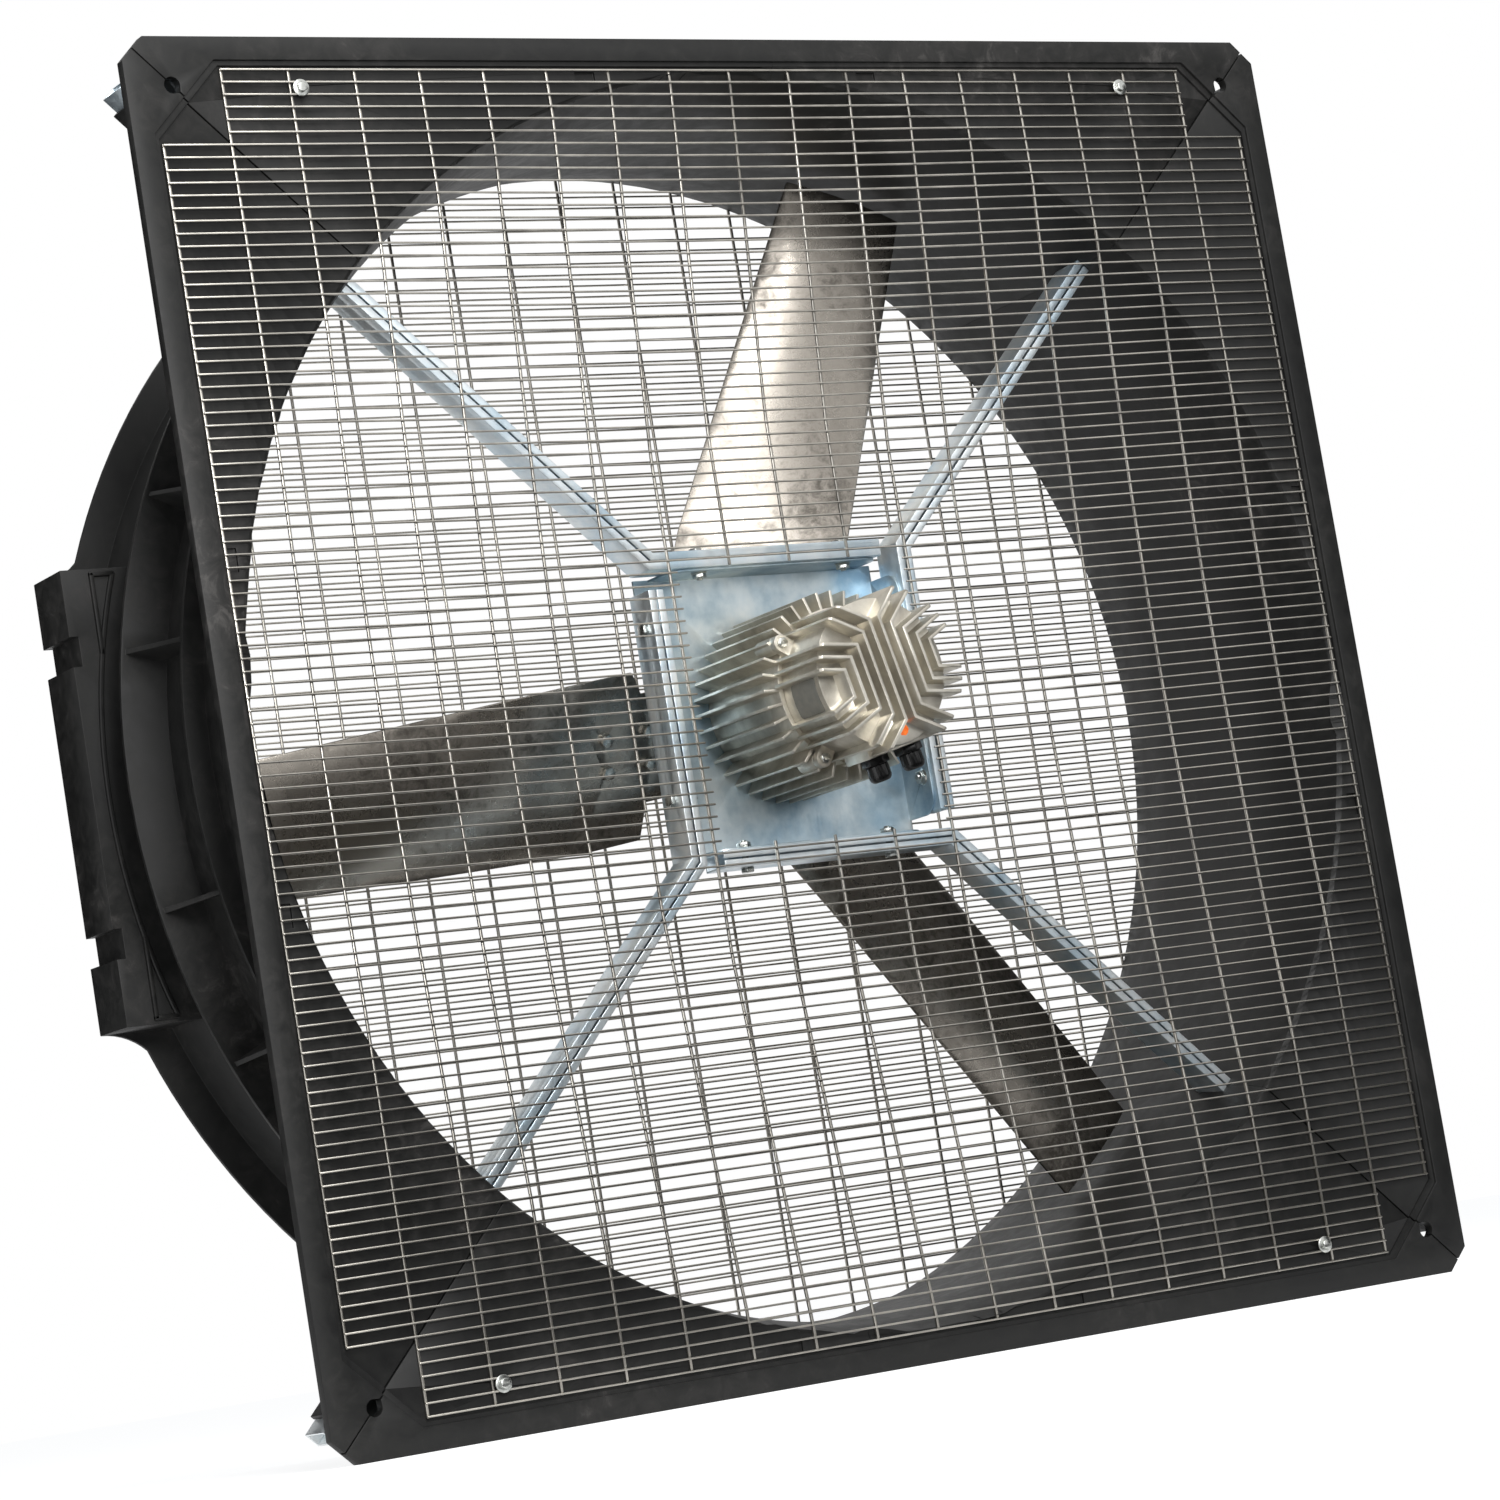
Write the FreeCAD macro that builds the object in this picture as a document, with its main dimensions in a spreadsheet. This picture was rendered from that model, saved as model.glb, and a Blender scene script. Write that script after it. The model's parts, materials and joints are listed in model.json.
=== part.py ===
import FreeCAD, Part
import math
import os
import re

import Sketcher
from FreeCAD import Placement, Rotation, Vector

# Barn ventilation fan: a square moulded housing in four quarters, a wire grille at the inlet,
# four folded struts carrying a finned motor, and a three-blade propeller behind it.
# The fan's axis is Y. Air enters at the front (low Y) and leaves at the back. +Z is up.
# The origin is on the axis, in the plane of the panel's front face.

# Driving dimensions in millimetres, degrees and counts
SIZES = {
    "panel_width": 1400,
    "panel_thick": 12,
    "corner_cut": 25,
    "rim_width": 24,
    "ledge_width": 5,
    "ledge_depth": 3.5,
    "recess_depth": 7,
    "recess_corner": 75,
    "hole_spacing": 1300,
    "hole_radius": 8.5,
    "hole_tip": 11,
    "seam_groove": 1.6,
    "socket_place": 175,
    "socket_length": 24,
    "socket_width": 12,
    "socket_depth": 3.5,
    "moulded_wall": 5,
    "lip_outer": 668,
    "lip_drop": 5,
    "lip_radius": 6,
    "inlet_curve": 400,
    "throat_start": 140,
    "throat_end": 300,
    "tip_gap": 8,
    "housing_depth": 386,
    "outlet_flare": 17,
    "flange_height": 35,
    "flange_thick": 5,
    "ring_rib_place": 145,
    "ring_rib_height": 24,
    "middle_lip_place": 235,
    "middle_lip_height": 50,
    "gusset_angle": 11,
    "gusset_spread": 14,
    "lug_length": 472,
    "lug_depth": 68,
    "lug_sweep": 48,
    "lug_sweep_radius": 70,
    "lug_notch_place": 151,
    "lug_notch_length": 31,
    "lug_notch_depth": 10,
    "seam_flange_height": 36,
    "grille_columns": 18,
    "grille_pitch": 74.1,
    "grille_rows_per_side": 52,
    "grille_notch_rows": 6,
    "grille_wire": 3,
    "cross_wire": 2.2,
    "weld_gap": 0.25,
    "dish_depth": 38,
    "dish_outer": 655,
    "dish_inner": 300,
    "grille_stub": 8,
    "window_columns": 2,
    "window_rows": 12,
    "grille_screw_column": 7,
    "grille_screw_offset": 10,
    "washer_radius": 9,
    "washer_thick": 1.6,
    "guard_radius": 645,
    "guard_screw_row": 52.5,
    "guard_screw_shift": 2.5,
    "strut_width": 18,
    "strut_depth": 40,
    "strut_wall": 2,
    "strut_slot": 2,
    "strut_front": 60,
    "strut_square": 316,
    "strut_bar_gap": 30,
    "strut_end_radius": 950,
    "strut_clearance": 0.5,
    "strut_bolt_spacing": 180,
    "strut_bolt_radius": 4,
    "anchor_inner": 740,
    "anchor_outer": 900,
    "anchor_bolt_radius": 3,
    "plate_depth": 117.5,
    "plate_thick": 2.5,
    "plate_flange": 53,
    "plate_flange_length": 262,
    "plate_corner": 20,
    "plate_hole_radius": 36,
    "motor_length": 140,
    "motor_turn": 13,
    "motor_core_radius": 82,
    "motor_bore_radius": 76,
    "motor_fin_height": 18,
    "motor_fin_thick": 3,
    "motor_fin_count": 36,
    "motor_back_wall": 22,
    "motor_bolt_circle": 110,
    "motor_bolt_radius": 4,
    "cap_radius": 87,
    "cap_core_radius": 77,
    "cap_base": 68,
    "cap_wall": 8,
    "cap_rib_height": 22,
    "cap_bevel": 3,
    "cap_rib_count": 5,
    "cap_rib_pitch": 12.4,
    "cap_rib_reach": 54.5,
    "cap_rib_drop": 10,
    "cap_rib_thick": 3.5,
    "cap_steep_ribs": 2,
    "cap_steep_arm": 0.75,
    "cap_flat_arm": 0.3,
    "cap_lug_thick": 10,
    "cap_screw_circle": 178,
    "cap_screw_radius": 3,
    "cap_boss_radius": 9,
    "cap_boss_length": 30,
    "shield_thick": 20,
    "bearing_radius": 31,
    "bearing_width": 16,
    "seal_radius": 24,
    "shaft_radius": 15,
    "fit_clearance": 0.05,
    "stator_length": 60,
    "stator_bore_radius": 46,
    "stator_setback": 38,
    "winding_length": 16,
    "magnet_thick": 5,
    "magnet_count": 8,
    "magnet_cover": 0.85,
    "air_gap": 1,
    "board_thick": 2,
    "board_radius": 70,
    "board_ledge": 10,
    "gland_seat": 80,
    "gland_block_width": 84,
    "gland_block_depth": 44,
    "gland_spacing": 44,
    "gland_flats": 26,
    "gland_length": 26,
    "gland_nut_length": 8,
    "gland_dome_radius": 12,
    "gland_stub_radius": 8,
    "gland_stub_length": 8,
    "gland_bore_radius": 5,
    "hub_radius": 38,
    "hub_gap": 25,
    "hub_length": 110,
    "hub_bolt_radius": 6,
    "hub_bolt_length": 28,
    "hub_washer_radius": 22,
    "hub_washer_thick": 4,
    "key_width": 8,
    "arm_start": 25,
    "arm_length": 160,
    "arm_width": 74,
    "arm_thick": 10,
    "propeller_angle": 23,
    "blade_thick": 3,
    "blade_pitch": 23,
    "blade_count": 3,
    "blade_setback": 60,
    "blade_inner": 75,
    "blade_root": 205,
    "tab_width": 120,
    "tab_shoulder": 118,
    "tab_slope": 10,
    "blade_middle": 420,
    "blade_middle_twist": 7.5,
    "blade_tip_twist": 15,
    "root_lead": 100,
    "root_trail": 85,
    "middle_lead": 81,
    "middle_trail": 80,
    "tip_lead": 62,
    "tip_trail": 76,
    "middle_camber": 13,
    "tip_camber": 9,
    "propeller_radius": 635,
    "blade_bolt_radius": 4,
    "blade_bolt_pitch": 36,
    "blade_bolt_edge": 36,
    "blade_bolt_rows": 54,
}

doc = FreeCAD.newDocument("barn_fan")
sheet = doc.addObject("Spreadsheet::Sheet", "size")
for row, (size_name, size_value) in enumerate(SIZES.items(), start=1):
    sheet.set(f"A{row}", size_name)
    sheet.set(f"B{row}", str(size_value))
    sheet.setAlias(f"B{row}", size_name)
doc.recompute()

AXIS = Vector(0, 1, 0)
ROOT_HALF = "sqrt(0.5)"
sub_parts = []


# Helpers


def linked(expression):
    """The expression with every size name pointing at its cell."""
    def cell(word):
        return f"size.{word[0]}" if word[0] in SIZES else word[0]
    return re.sub(r"[a-z]+(?:_[a-z]+)+", cell, str(expression))


def value(expression):
    return float(sheet.evalExpression(linked(expression)))


def bind(thing, **expressions):
    for prop, expression in expressions.items():
        thing.setExpression(prop, linked(expression))


def keep(thing, label, placement=None):
    """Names a finished sub-part, places it and puts it on the list of files."""
    thing.Label = label
    if placement is not None:
        thing.Placement = placement
    sub_parts.append(thing)
    return thing


def turned(degrees):
    return Placement(Vector(0, 0, 0), Rotation(AXIS, degrees))


def new_body(name):
    return doc.addObject("PartDesign::Body", name)


def origin_feature(body, role):
    return next(feature for feature in body.Origin.OriginFeatures if feature.Role == role)


def sketch_on(body, name, role, offset="0", tilt=Rotation()):
    """A sketch on one of the body's planes, moved off it and tilted in its own axes."""
    sketch = body.newObject("Sketcher::SketchObject", name)
    sketch.AttachmentSupport = [(origin_feature(body, role), "")]
    sketch.MapMode = "FlatFace"
    sketch.AttachmentOffset = Placement(Vector(0, 0, value(offset)), tilt)
    sketch.setExpression("AttachmentOffset.Base.z", linked(offset))
    return sketch


def front_sketch(body, name, depth="0"):
    """A sketch facing the front, X across and Z up, at a depth along the axis."""
    return sketch_on(body, name, "XZ_Plane", f"-({depth})")


def side_sketch(body, name, turn=0):
    """A sketch through the axis, with depth across and distance from the axis up."""
    return sketch_on(body, name, "YZ_Plane", "0", Rotation(Vector(1, 0, 0), turn))


def fix(sketch, kind, geometry, point, expression):
    amount = value(expression)
    index = sketch.addConstraint(Sketcher.Constraint(kind, -1, 1, geometry, point, amount))
    sketch.setExpression(f"Constraints[{index}]", linked(expression))


def fix_radius(sketch, geometry, expression):
    index = sketch.addConstraint(Sketcher.Constraint("Radius", geometry, value(expression)))
    sketch.setExpression(f"Constraints[{index}]", linked(expression))


def arc_between(start, end, radius, left):
    """The short arc between two points, with its centre on the left or right of the way."""
    way = end.sub(start)
    rise = math.sqrt(radius ** 2 - (way.Length / 2) ** 2) / way.Length
    side = Vector(-way.y, way.x, 0) * (rise if left else -rise)
    centre = start.add(end) * 0.5 + side
    first, last = (start, end) if left else (end, start)
    angles = [math.atan2(p.y - centre.y, p.x - centre.x) for p in (first, last)]
    return Part.ArcOfCircle(Part.Circle(centre, Vector(0, 0, 1), radius), *angles)


def outline(sketch, corners):
    """A closed outline. A corner is (across, up) or (across, up, radius, side) as expressions:
    the radius bends the edge that arrives there, with its centre on that side of the way."""
    points = [Vector(value(corner[0]), value(corner[1]), 0) for corner in corners]
    edges = []
    for number, corner in enumerate(corners):
        start, end = points[number - 1], points[number]
        if len(corner) == 2:
            edges.append((sketch.addGeometry(Part.LineSegment(start, end)), 1, 2))
        else:
            left = corner[3] == "left"
            arc = arc_between(start, end, value(corner[2]), left)
            edges.append((sketch.addGeometry(arc), 1, 2) if left else (sketch.addGeometry(arc), 2, 1))
    for number, corner in enumerate(corners):
        edge, start_point, end_point = edges[number]
        following, next_start, next_end = edges[(number + 1) % len(edges)]
        sketch.addConstraint(Sketcher.Constraint("Coincident", edge, end_point, following, next_start))
        fix(sketch, "DistanceX", edge, end_point, corner[0])
        fix(sketch, "DistanceY", edge, end_point, corner[1])
        if len(corner) > 2:
            fix_radius(sketch, edge, corner[2])


def mirrored(corners):
    """The same outline on the other side of the sketch's upright axis."""
    other = {"left": "right", "right": "left"}
    return [(f"-({c[0]})", c[1]) + ((c[2], other[c[3]]) if len(c) > 2 else ()) for c in corners]


def rectangle(sketch, low_across, high_across, low_up, high_up):
    outline(sketch, [(low_across, low_up), (high_across, low_up),
                     (high_across, high_up), (low_across, high_up)])


def circle(sketch, across, up, radius):
    ring = Part.Circle(Vector(value(across), value(up), 0), Vector(0, 0, 1), value(radius))
    geometry = sketch.addGeometry(ring)
    fix(sketch, "DistanceX", geometry, 3, across)
    fix(sketch, "DistanceY", geometry, 3, up)
    fix_radius(sketch, geometry, radius)


def feature_from(body, kind, sketch, **expressions):
    feature = body.newObject(f"PartDesign::{kind}", f"{sketch.Name}_{kind.lower()}")
    feature.Profile = sketch
    bind(feature, **expressions)
    return feature


def pad(body, sketch, length):
    """Material from a front sketch towards the back."""
    feature = feature_from(body, "Pad", sketch, Length=length)
    feature.Reversed = True
    return feature


def pocket(body, sketch, length, both_ways=False):
    """A cut from a front sketch towards the back, or to both sides of a sketch."""
    feature = feature_from(body, "Pocket", sketch, Length=length)
    feature.Midplane = both_ways
    return feature


def revolve(body, sketch, angle="360"):
    """A side sketch turned round the fan's axis, to both sides of the sketch."""
    feature = feature_from(body, "Revolution", sketch, Angle=angle)
    feature.ReferenceAxis = (sketch, ["H_Axis"])
    feature.Midplane = True
    return feature


def polar(body, feature, count):
    pattern = body.newObject("PartDesign::PolarPattern", f"{feature.Name}_round")
    pattern.Originals = [feature]
    pattern.Axis = (origin_feature(body, "Y_Axis"), [""])
    pattern.Angle = 360
    bind(pattern, Occurrences=count)
    body.Tip = pattern
    return pattern


def ring_body(label, inner, outer, start, length):
    """A plain ring about the fan's axis."""
    body = new_body(label)
    section = side_sketch(body, f"{label}_section")
    rectangle(section, start, f"{start} + {length}", inner, outer)
    revolve(body, section)
    return keep(body, label)


# A fastener's hexagon and heights as multiples of its thread's radius
ACROSS_FLATS = 3.25
HEAD_HEIGHT = 1.3
NUT_HEIGHT = 1.6


def hex_prism(across_flats, length):
    """A hexagonal bar along Z from the origin."""
    corner = across_flats / 2 / math.cos(math.pi / 6)
    points = [Vector(corner * math.cos(k * math.pi / 3), corner * math.sin(k * math.pi / 3), 0)
              for k in range(7)]
    return Part.Face(Part.makePolygon(points)).extrude(Vector(0, 0, length))


def hex_bolt(radius, grip):
    """A bolt along Z: its head under the origin, its shank through the grip above it."""
    head = hex_prism(ACROSS_FLATS * radius, HEAD_HEIGHT * radius)
    head.translate(Vector(0, 0, -HEAD_HEIGHT * radius))
    return head.fuse(Part.makeCylinder(radius - value("fit_clearance"), grip)).removeSplitter()


def hex_nut(radius):
    length = NUT_HEIGHT * radius
    return hex_prism(ACROSS_FLATS * radius, length).cut(Part.makeCylinder(radius, length))


def along(point, direction):
    """A placement at the point with Z along the direction."""
    return Placement(point, Rotation(Vector(0, 0, 1), direction))


def group(label, shape, placements):
    """One node of identical pieces, each a solid of its own."""
    copies = []
    for placement in placements:
        copy = shape.copy()
        copy.Placement = placement
        copies.append(copy)
    feature = doc.addObject("Part::Feature", label)
    feature.Shape = Part.makeCompound(copies)
    return keep(feature, label)


# Derived places, as expressions of the sizes

HALF_PANEL = "panel_width / 2"
THROAT = "(propeller_radius + tip_gap)"
OUTLET = f"({THROAT} + outlet_flare)"
REAR_LIP_FRONT = "(housing_depth - flange_thick)"
REAR_LIP = f"({OUTLET} + moulded_wall + flange_height)"
SHELL = f"({THROAT} + moulded_wall)"
LUG_FRONT = "(housing_depth - lug_depth)"
STRUT_BACK = "(strut_front + strut_depth + strut_clearance)"
STRUT_MIDDLE = "(strut_front + strut_depth / 2)"
STRUT_SIDE = "(strut_width / 2 + strut_clearance)"
SEAM_BOLT_RADIUS = f"({SHELL} + seam_flange_height / 2)"
SEAM_BOLT_PLACES = ["(ring_rib_place + middle_lip_place) / 2", "(middle_lip_place + throat_end) / 2"]
GRILLE_HALF = "(grille_columns / 2 * grille_pitch)"
GRILLE_STEP = f"({GRILLE_HALF} / grille_rows_per_side)"
GRILLE_SCREW_ACROSS = "grille_screw_column * grille_pitch - grille_screw_offset"
GRILLE_SCREW_UP = f"{GRILLE_STEP} * (grille_rows_per_side - 1.5)"
PLATE_BACK = "(plate_depth + plate_thick)"
PLATE_HALF = "((strut_square - strut_width) / 2)"
MOTOR_FRONT = "(plate_depth - motor_length)"
FIN_RADIUS = "(motor_core_radius + motor_fin_height)"
HUB_FRONT = f"({PLATE_BACK} + hub_gap)"
HUB_BACK = f"({HUB_FRONT} + hub_length)"
BLADE_DEPTH = f"({HUB_FRONT} + blade_setback)"
STATOR_FRONT = f"({MOTOR_FRONT} + stator_setback)"
ROTOR_RADIUS = "(stator_bore_radius - air_gap - magnet_thick)"
CAP_BASE_FRONT = f"({MOTOR_FRONT} - cap_base)"
CAP_FRONT = f"({CAP_BASE_FRONT} - cap_rib_height)"
GLAND_DEPTH = f"({MOTOR_FRONT} - cap_base / 2)"
QUARTERS = {"top": 0, "right": 90, "bottom": 180, "left": 270}


def inlet_radius(depth, wall="0"):
    """Radius of the inlet's curve at a depth, on its air side or under its wall."""
    return (f"({THROAT} + inlet_curve - sqrt((inlet_curve - {wall})^2"
            f" - (throat_start - ({depth}))^2))")


def flare_radius(depth):
    """Radius outside the flared outlet at a depth."""
    run = f"({REAR_LIP_FRONT} - throat_end)"
    return f"({SHELL} + outlet_flare * (({depth}) - throat_end) / {run})"


def seam_strip(near, far, inner, outer):
    """A strip beside the right-hand seam: from near to far along it, from inner to outer off it."""
    return [(f"({along_seam} + {off}) * {ROOT_HALF} - ({off}) * 2 * {ROOT_HALF}",
             f"({along_seam} + {off}) * {ROOT_HALF}")
            for along_seam, off in ((near, inner), (far, inner), (far, outer), (near, outer))]


def both_seams(body, name, depth, strip):
    """A front sketch with a strip at each of the quarter's two seams."""
    sketch = front_sketch(body, name, depth)
    outline(sketch, strip)
    outline(sketch, mirrored(strip))
    return sketch


# Housing: four moulded quarters that meet on the panel's diagonals


def recess_outline(edge):
    """The top quarter of the square recess with cut corners, down to the axis."""
    corner = f"({edge} - recess_corner / 2)"
    return [("0", "0"), (corner, corner), (f"{edge} - recess_corner", edge),
            (f"-({edge} - recess_corner)", edge), (f"-{corner}", corner)]


def ring_section(place, height):
    """Corners of a ring standing on the barrel, from its back foot to its front foot."""
    back, front = f"{place} + flange_thick / 2", f"{place} - flange_thick / 2"
    return [(back, SHELL), (back, f"{SHELL} + {height}"), (front, f"{SHELL} + {height}"), (front, SHELL)]


def bell_section():
    """Section of inlet, throat, flare, rear lip and rings: depth across, radius up."""
    return [
        ("recess_depth", "lip_outer + moulded_wall"),
        ("recess_depth", "lip_outer"),
        ("recess_depth + lip_drop", inlet_radius("recess_depth + lip_drop"), "lip_radius", "left"),
        ("throat_start", THROAT, "inlet_curve", "left"),
        ("throat_end", THROAT),
        ("housing_depth", OUTLET),
        ("housing_depth", REAR_LIP),
        (REAR_LIP_FRONT, REAR_LIP),
        (REAR_LIP_FRONT, flare_radius(REAR_LIP_FRONT)),
        ("throat_end", SHELL),
        *ring_section("middle_lip_place", "middle_lip_height"),
        *ring_section("ring_rib_place", "ring_rib_height"),
        ("throat_start", SHELL),
        ("panel_thick", inlet_radius("panel_thick", "moulded_wall"),
         "inlet_curve - moulded_wall", "right"),
        ("panel_thick", "lip_outer + moulded_wall"),
    ]


def add_panel(body):
    corner = f"({HALF_PANEL} - corner_cut / 2)"
    side = f"({HALF_PANEL} - corner_cut)"
    lip = f"lip_outer * {ROOT_HALF}"
    plate = front_sketch(body, "panel")
    outline(plate, [(f"-{corner}", corner), (f"-({lip})", lip), (lip, lip, "lip_outer", "right"),
                    (corner, corner), (side, HALF_PANEL), (f"-{side}", HALF_PANEL)])
    pad(body, plate, "panel_thick")
    ledge = front_sketch(body, "ledge")
    outline(ledge, recess_outline(f"({HALF_PANEL} - rim_width)"))
    pocket(body, ledge, "ledge_depth")
    recess = front_sketch(body, "recess")
    outline(recess, recess_outline(f"({HALF_PANEL} - rim_width - ledge_width)"))
    pocket(body, recess, "recess_depth")
    sockets = front_sketch(body, "sockets", "recess_depth")
    socket_top = f"({HALF_PANEL} - rim_width - 2 * ledge_width)"
    for sign in ("", "-"):
        middle = f"{sign}socket_place"
        rectangle(sockets, f"{middle} - socket_length / 2", f"{middle} + socket_length / 2",
                  f"{socket_top} - socket_width", socket_top)
    pocket(body, sockets, "socket_depth")
    keyholes = front_sketch(body, "keyholes")
    centre = "hole_spacing / 2"
    tip = f"{centre} - hole_tip * {ROOT_HALF}"
    far = f"{centre} + hole_radius * {ROOT_HALF}"
    inward = "hole_radius^2 / hole_tip"
    aside = "hole_radius * sqrt(1 - (hole_radius / hole_tip)^2)"
    low = f"{centre} - ({inward} + {aside}) * {ROOT_HALF}"
    high = f"{centre} - ({inward} - {aside}) * {ROOT_HALF}"
    drop = [(tip, tip), (high, low), (far, far, "hole_radius", "left"), (low, high, "hole_radius", "left")]
    outline(keyholes, drop)
    outline(keyholes, mirrored(drop))
    pocket(body, keyholes, "panel_thick")
    groove = seam_strip("lip_outer", f"({HALF_PANEL} * sqrt(2))", "0", "seam_groove / 2")
    pocket(body, both_seams(body, "seam_grooves", "0", groove), "panel_thick - seam_groove")


def add_lug(body):
    """The flat foot on the rear lip, level with the panel's edge: a rear web that sweeps into the
    round, a front web on the barrel, a closed face, cross ribs and two notches."""
    half = "lug_length / 2"
    far = f"({half} + lug_sweep)"
    bed = f"({OUTLET} + moulded_wall * 2)"
    bed_end = f"sqrt({bed}^2 - {far}^2)"
    sweep_end = f"sqrt(({REAR_LIP} - moulded_wall)^2 - {far}^2)"
    face = f"({HALF_PANEL} - moulded_wall)"
    back = front_sketch(body, "lug_back", REAR_LIP_FRONT)
    outline(back, [(half, HALF_PANEL, "lug_sweep_radius", "right"), (f"-{half}", HALF_PANEL),
                   (f"-{far}", sweep_end, "lug_sweep_radius", "right"), (f"-{far}", bed_end),
                   (far, bed_end, bed, "right"), (far, sweep_end)])
    pad(body, back, "flange_thick")
    foot = f"({flare_radius(LUG_FRONT)} - moulded_wall / 2)"
    foot_end = f"sqrt({foot}^2 - ({half})^2)"
    front = front_sketch(body, "lug_front", LUG_FRONT)
    outline(front, [(half, HALF_PANEL), (f"-{half}", HALF_PANEL), (f"-{half}", foot_end),
                    (half, foot_end, foot, "right")])
    pad(body, front, "flange_thick")
    closing = front_sketch(body, "lug_face", LUG_FRONT)
    rectangle(closing, f"-{half}", half, face, HALF_PANEL)
    pad(body, closing, "lug_depth")
    trays = front_sketch(body, "lug_trays", LUG_FRONT)
    for side in ("", "-"):
        rectangle(trays, f"{side}lug_notch_place - lug_notch_length / 2 - moulded_wall",
                  f"{side}lug_notch_place + lug_notch_length / 2 + moulded_wall",
                  f"{face} - lug_notch_depth", HALF_PANEL)
    pad(body, trays, "lug_depth")
    ribs = front_sketch(body, "lug_ribs", LUG_FRONT)
    for place in (f"{half} - moulded_wall", f"{half} / 3", "0"):
        rib_foot = f"sqrt(({OUTLET} + moulded_wall / 2)^2 - ({place})^2)"
        rib = [(place, rib_foot), (f"{place} + moulded_wall", rib_foot),
               (f"{place} + moulded_wall", HALF_PANEL), (place, HALF_PANEL)]
        outline(ribs, rib)
        if place != "0":
            outline(ribs, mirrored(rib))
    pad(body, ribs, "lug_depth")
    notches = front_sketch(body, "lug_notches", LUG_FRONT)
    for side in ("", "-"):
        rectangle(notches, f"{side}lug_notch_place - lug_notch_length / 2",
                  f"{side}lug_notch_place + lug_notch_length / 2",
                  f"{HALF_PANEL} - lug_notch_depth", HALF_PANEL)
    pocket(body, notches, "lug_depth")


def add_gussets(body):
    """Webs along the barrel between its two rings, on both sides of the foot."""
    front, back = "ring_rib_place + flange_thick / 2", "middle_lip_place - flange_thick / 2"
    foot = f"({THROAT} + moulded_wall / 2)"
    corners = [(front, foot), (back, foot), (back, f"{SHELL} + middle_lip_height - moulded_wall"),
               (front, f"{SHELL} + ring_rib_height - moulded_wall")]
    inner, spread = value("gusset_angle"), value("gusset_spread")
    for number, angle in enumerate((inner, inner + spread, -inner, -inner - spread), start=1):
        web = side_sketch(body, f"gusset_{number}", angle)
        outline(web, corners)
        feature_from(body, "Pad", web, Length="moulded_wall").Midplane = True


def add_seams(body):
    """Bolted flanges on the barrel, walls beside the struts, the strut slots and bolt holes."""
    flange = seam_strip(f"({THROAT} + moulded_wall / 2)", f"({SHELL} + seam_flange_height)",
                        "0", "moulded_wall")
    pad(body, both_seams(body, "seam_flanges", STRUT_BACK, flange), f"throat_end - {STRUT_BACK}")
    wall = seam_strip("lip_outer", "(strut_end_radius - strut_width)",
                      STRUT_SIDE, f"({STRUT_SIDE} + moulded_wall)")
    pad(body, both_seams(body, "strut_walls", "panel_thick", wall), f"{STRUT_BACK} - panel_thick")
    slot = seam_strip(f"({THROAT} - strut_width)", "(lip_outer + strut_width)", "0", STRUT_SIDE)
    pocket(body, both_seams(body, "strut_slots", "strut_front - strut_clearance", slot),
           "strut_depth + 2 * strut_clearance")
    for name, turn in (("right", 45), ("left", -45)):
        holes = side_sketch(body, f"seam_holes_{name}", turn)
        for place in SEAM_BOLT_PLACES:
            circle(holes, place, SEAM_BOLT_RADIUS, "anchor_bolt_radius")
        for place in ("anchor_inner", "anchor_outer"):
            circle(holes, STRUT_MIDDLE, place, "anchor_bolt_radius")
        pocket(body, holes, "2 * strut_width + 4 * moulded_wall", both_ways=True)


def add_fixing_holes(body, grille_holes):
    """Holes for the guard's screws in the rear lip and, above and below, the grille's in the recess."""
    holes = front_sketch(body, "guard_holes", REAR_LIP_FRONT)
    for side in ("", "-"):
        circle(holes, f"{side}guard_screw_shift * {GRILLE_STEP}", f"guard_screw_row * {GRILLE_STEP}",
               "anchor_bolt_radius")
    pocket(body, holes, "flange_thick")
    if not grille_holes:
        return
    holes = front_sketch(body, "grille_holes", "recess_depth")
    for side in ("", "-"):
        circle(holes, f"{side}({GRILLE_SCREW_ACROSS})", GRILLE_SCREW_UP, "anchor_bolt_radius")
    pocket(body, holes, "panel_thick - recess_depth")


def housing_quarter(name, turn):
    body = new_body(f"housing_segment_{name}")
    add_panel(body)
    bell = side_sketch(body, "bell")
    outline(bell, bell_section())
    revolve(body, bell, "90")
    add_lug(body)
    add_gussets(body)
    add_seams(body)
    add_fixing_holes(body, name in ("top", "bottom"))
    return keep(body, f"housing_segment_{name}", turned(turn))


for quarter, quarter_turn in QUARTERS.items():
    housing_quarter(quarter, quarter_turn)


# Inlet grille and outlet guard: welded wires, uprights behind the cross wires in the grille


def wire(across, path, thick, upright):
    """A wire at its place across the mesh, bent along a path of (distance, depth)."""
    front = [(distance, depth - thick / 2) for distance, depth in path]
    back = [(distance, depth + thick / 2) for distance, depth in reversed(path)]
    side = across - thick / 2
    ring = [Vector(side, y, d) if upright else Vector(d, y, side) for d, y in front + back]
    way = Vector(thick, 0, 0) if upright else Vector(0, 0, thick)
    return Part.Face(Part.makePolygon(ring + ring[:1])).extrude(way)


def grille_dish(across, up):
    """How far the grille is pressed in at a point: a flat middle in a cone, level at the rim."""
    inner, outer = value("dish_inner"), value("dish_outer")
    share = (outer - math.hypot(across, up)) / (outer - inner)
    return value("dish_depth") * min(1, max(0, share))


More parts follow.
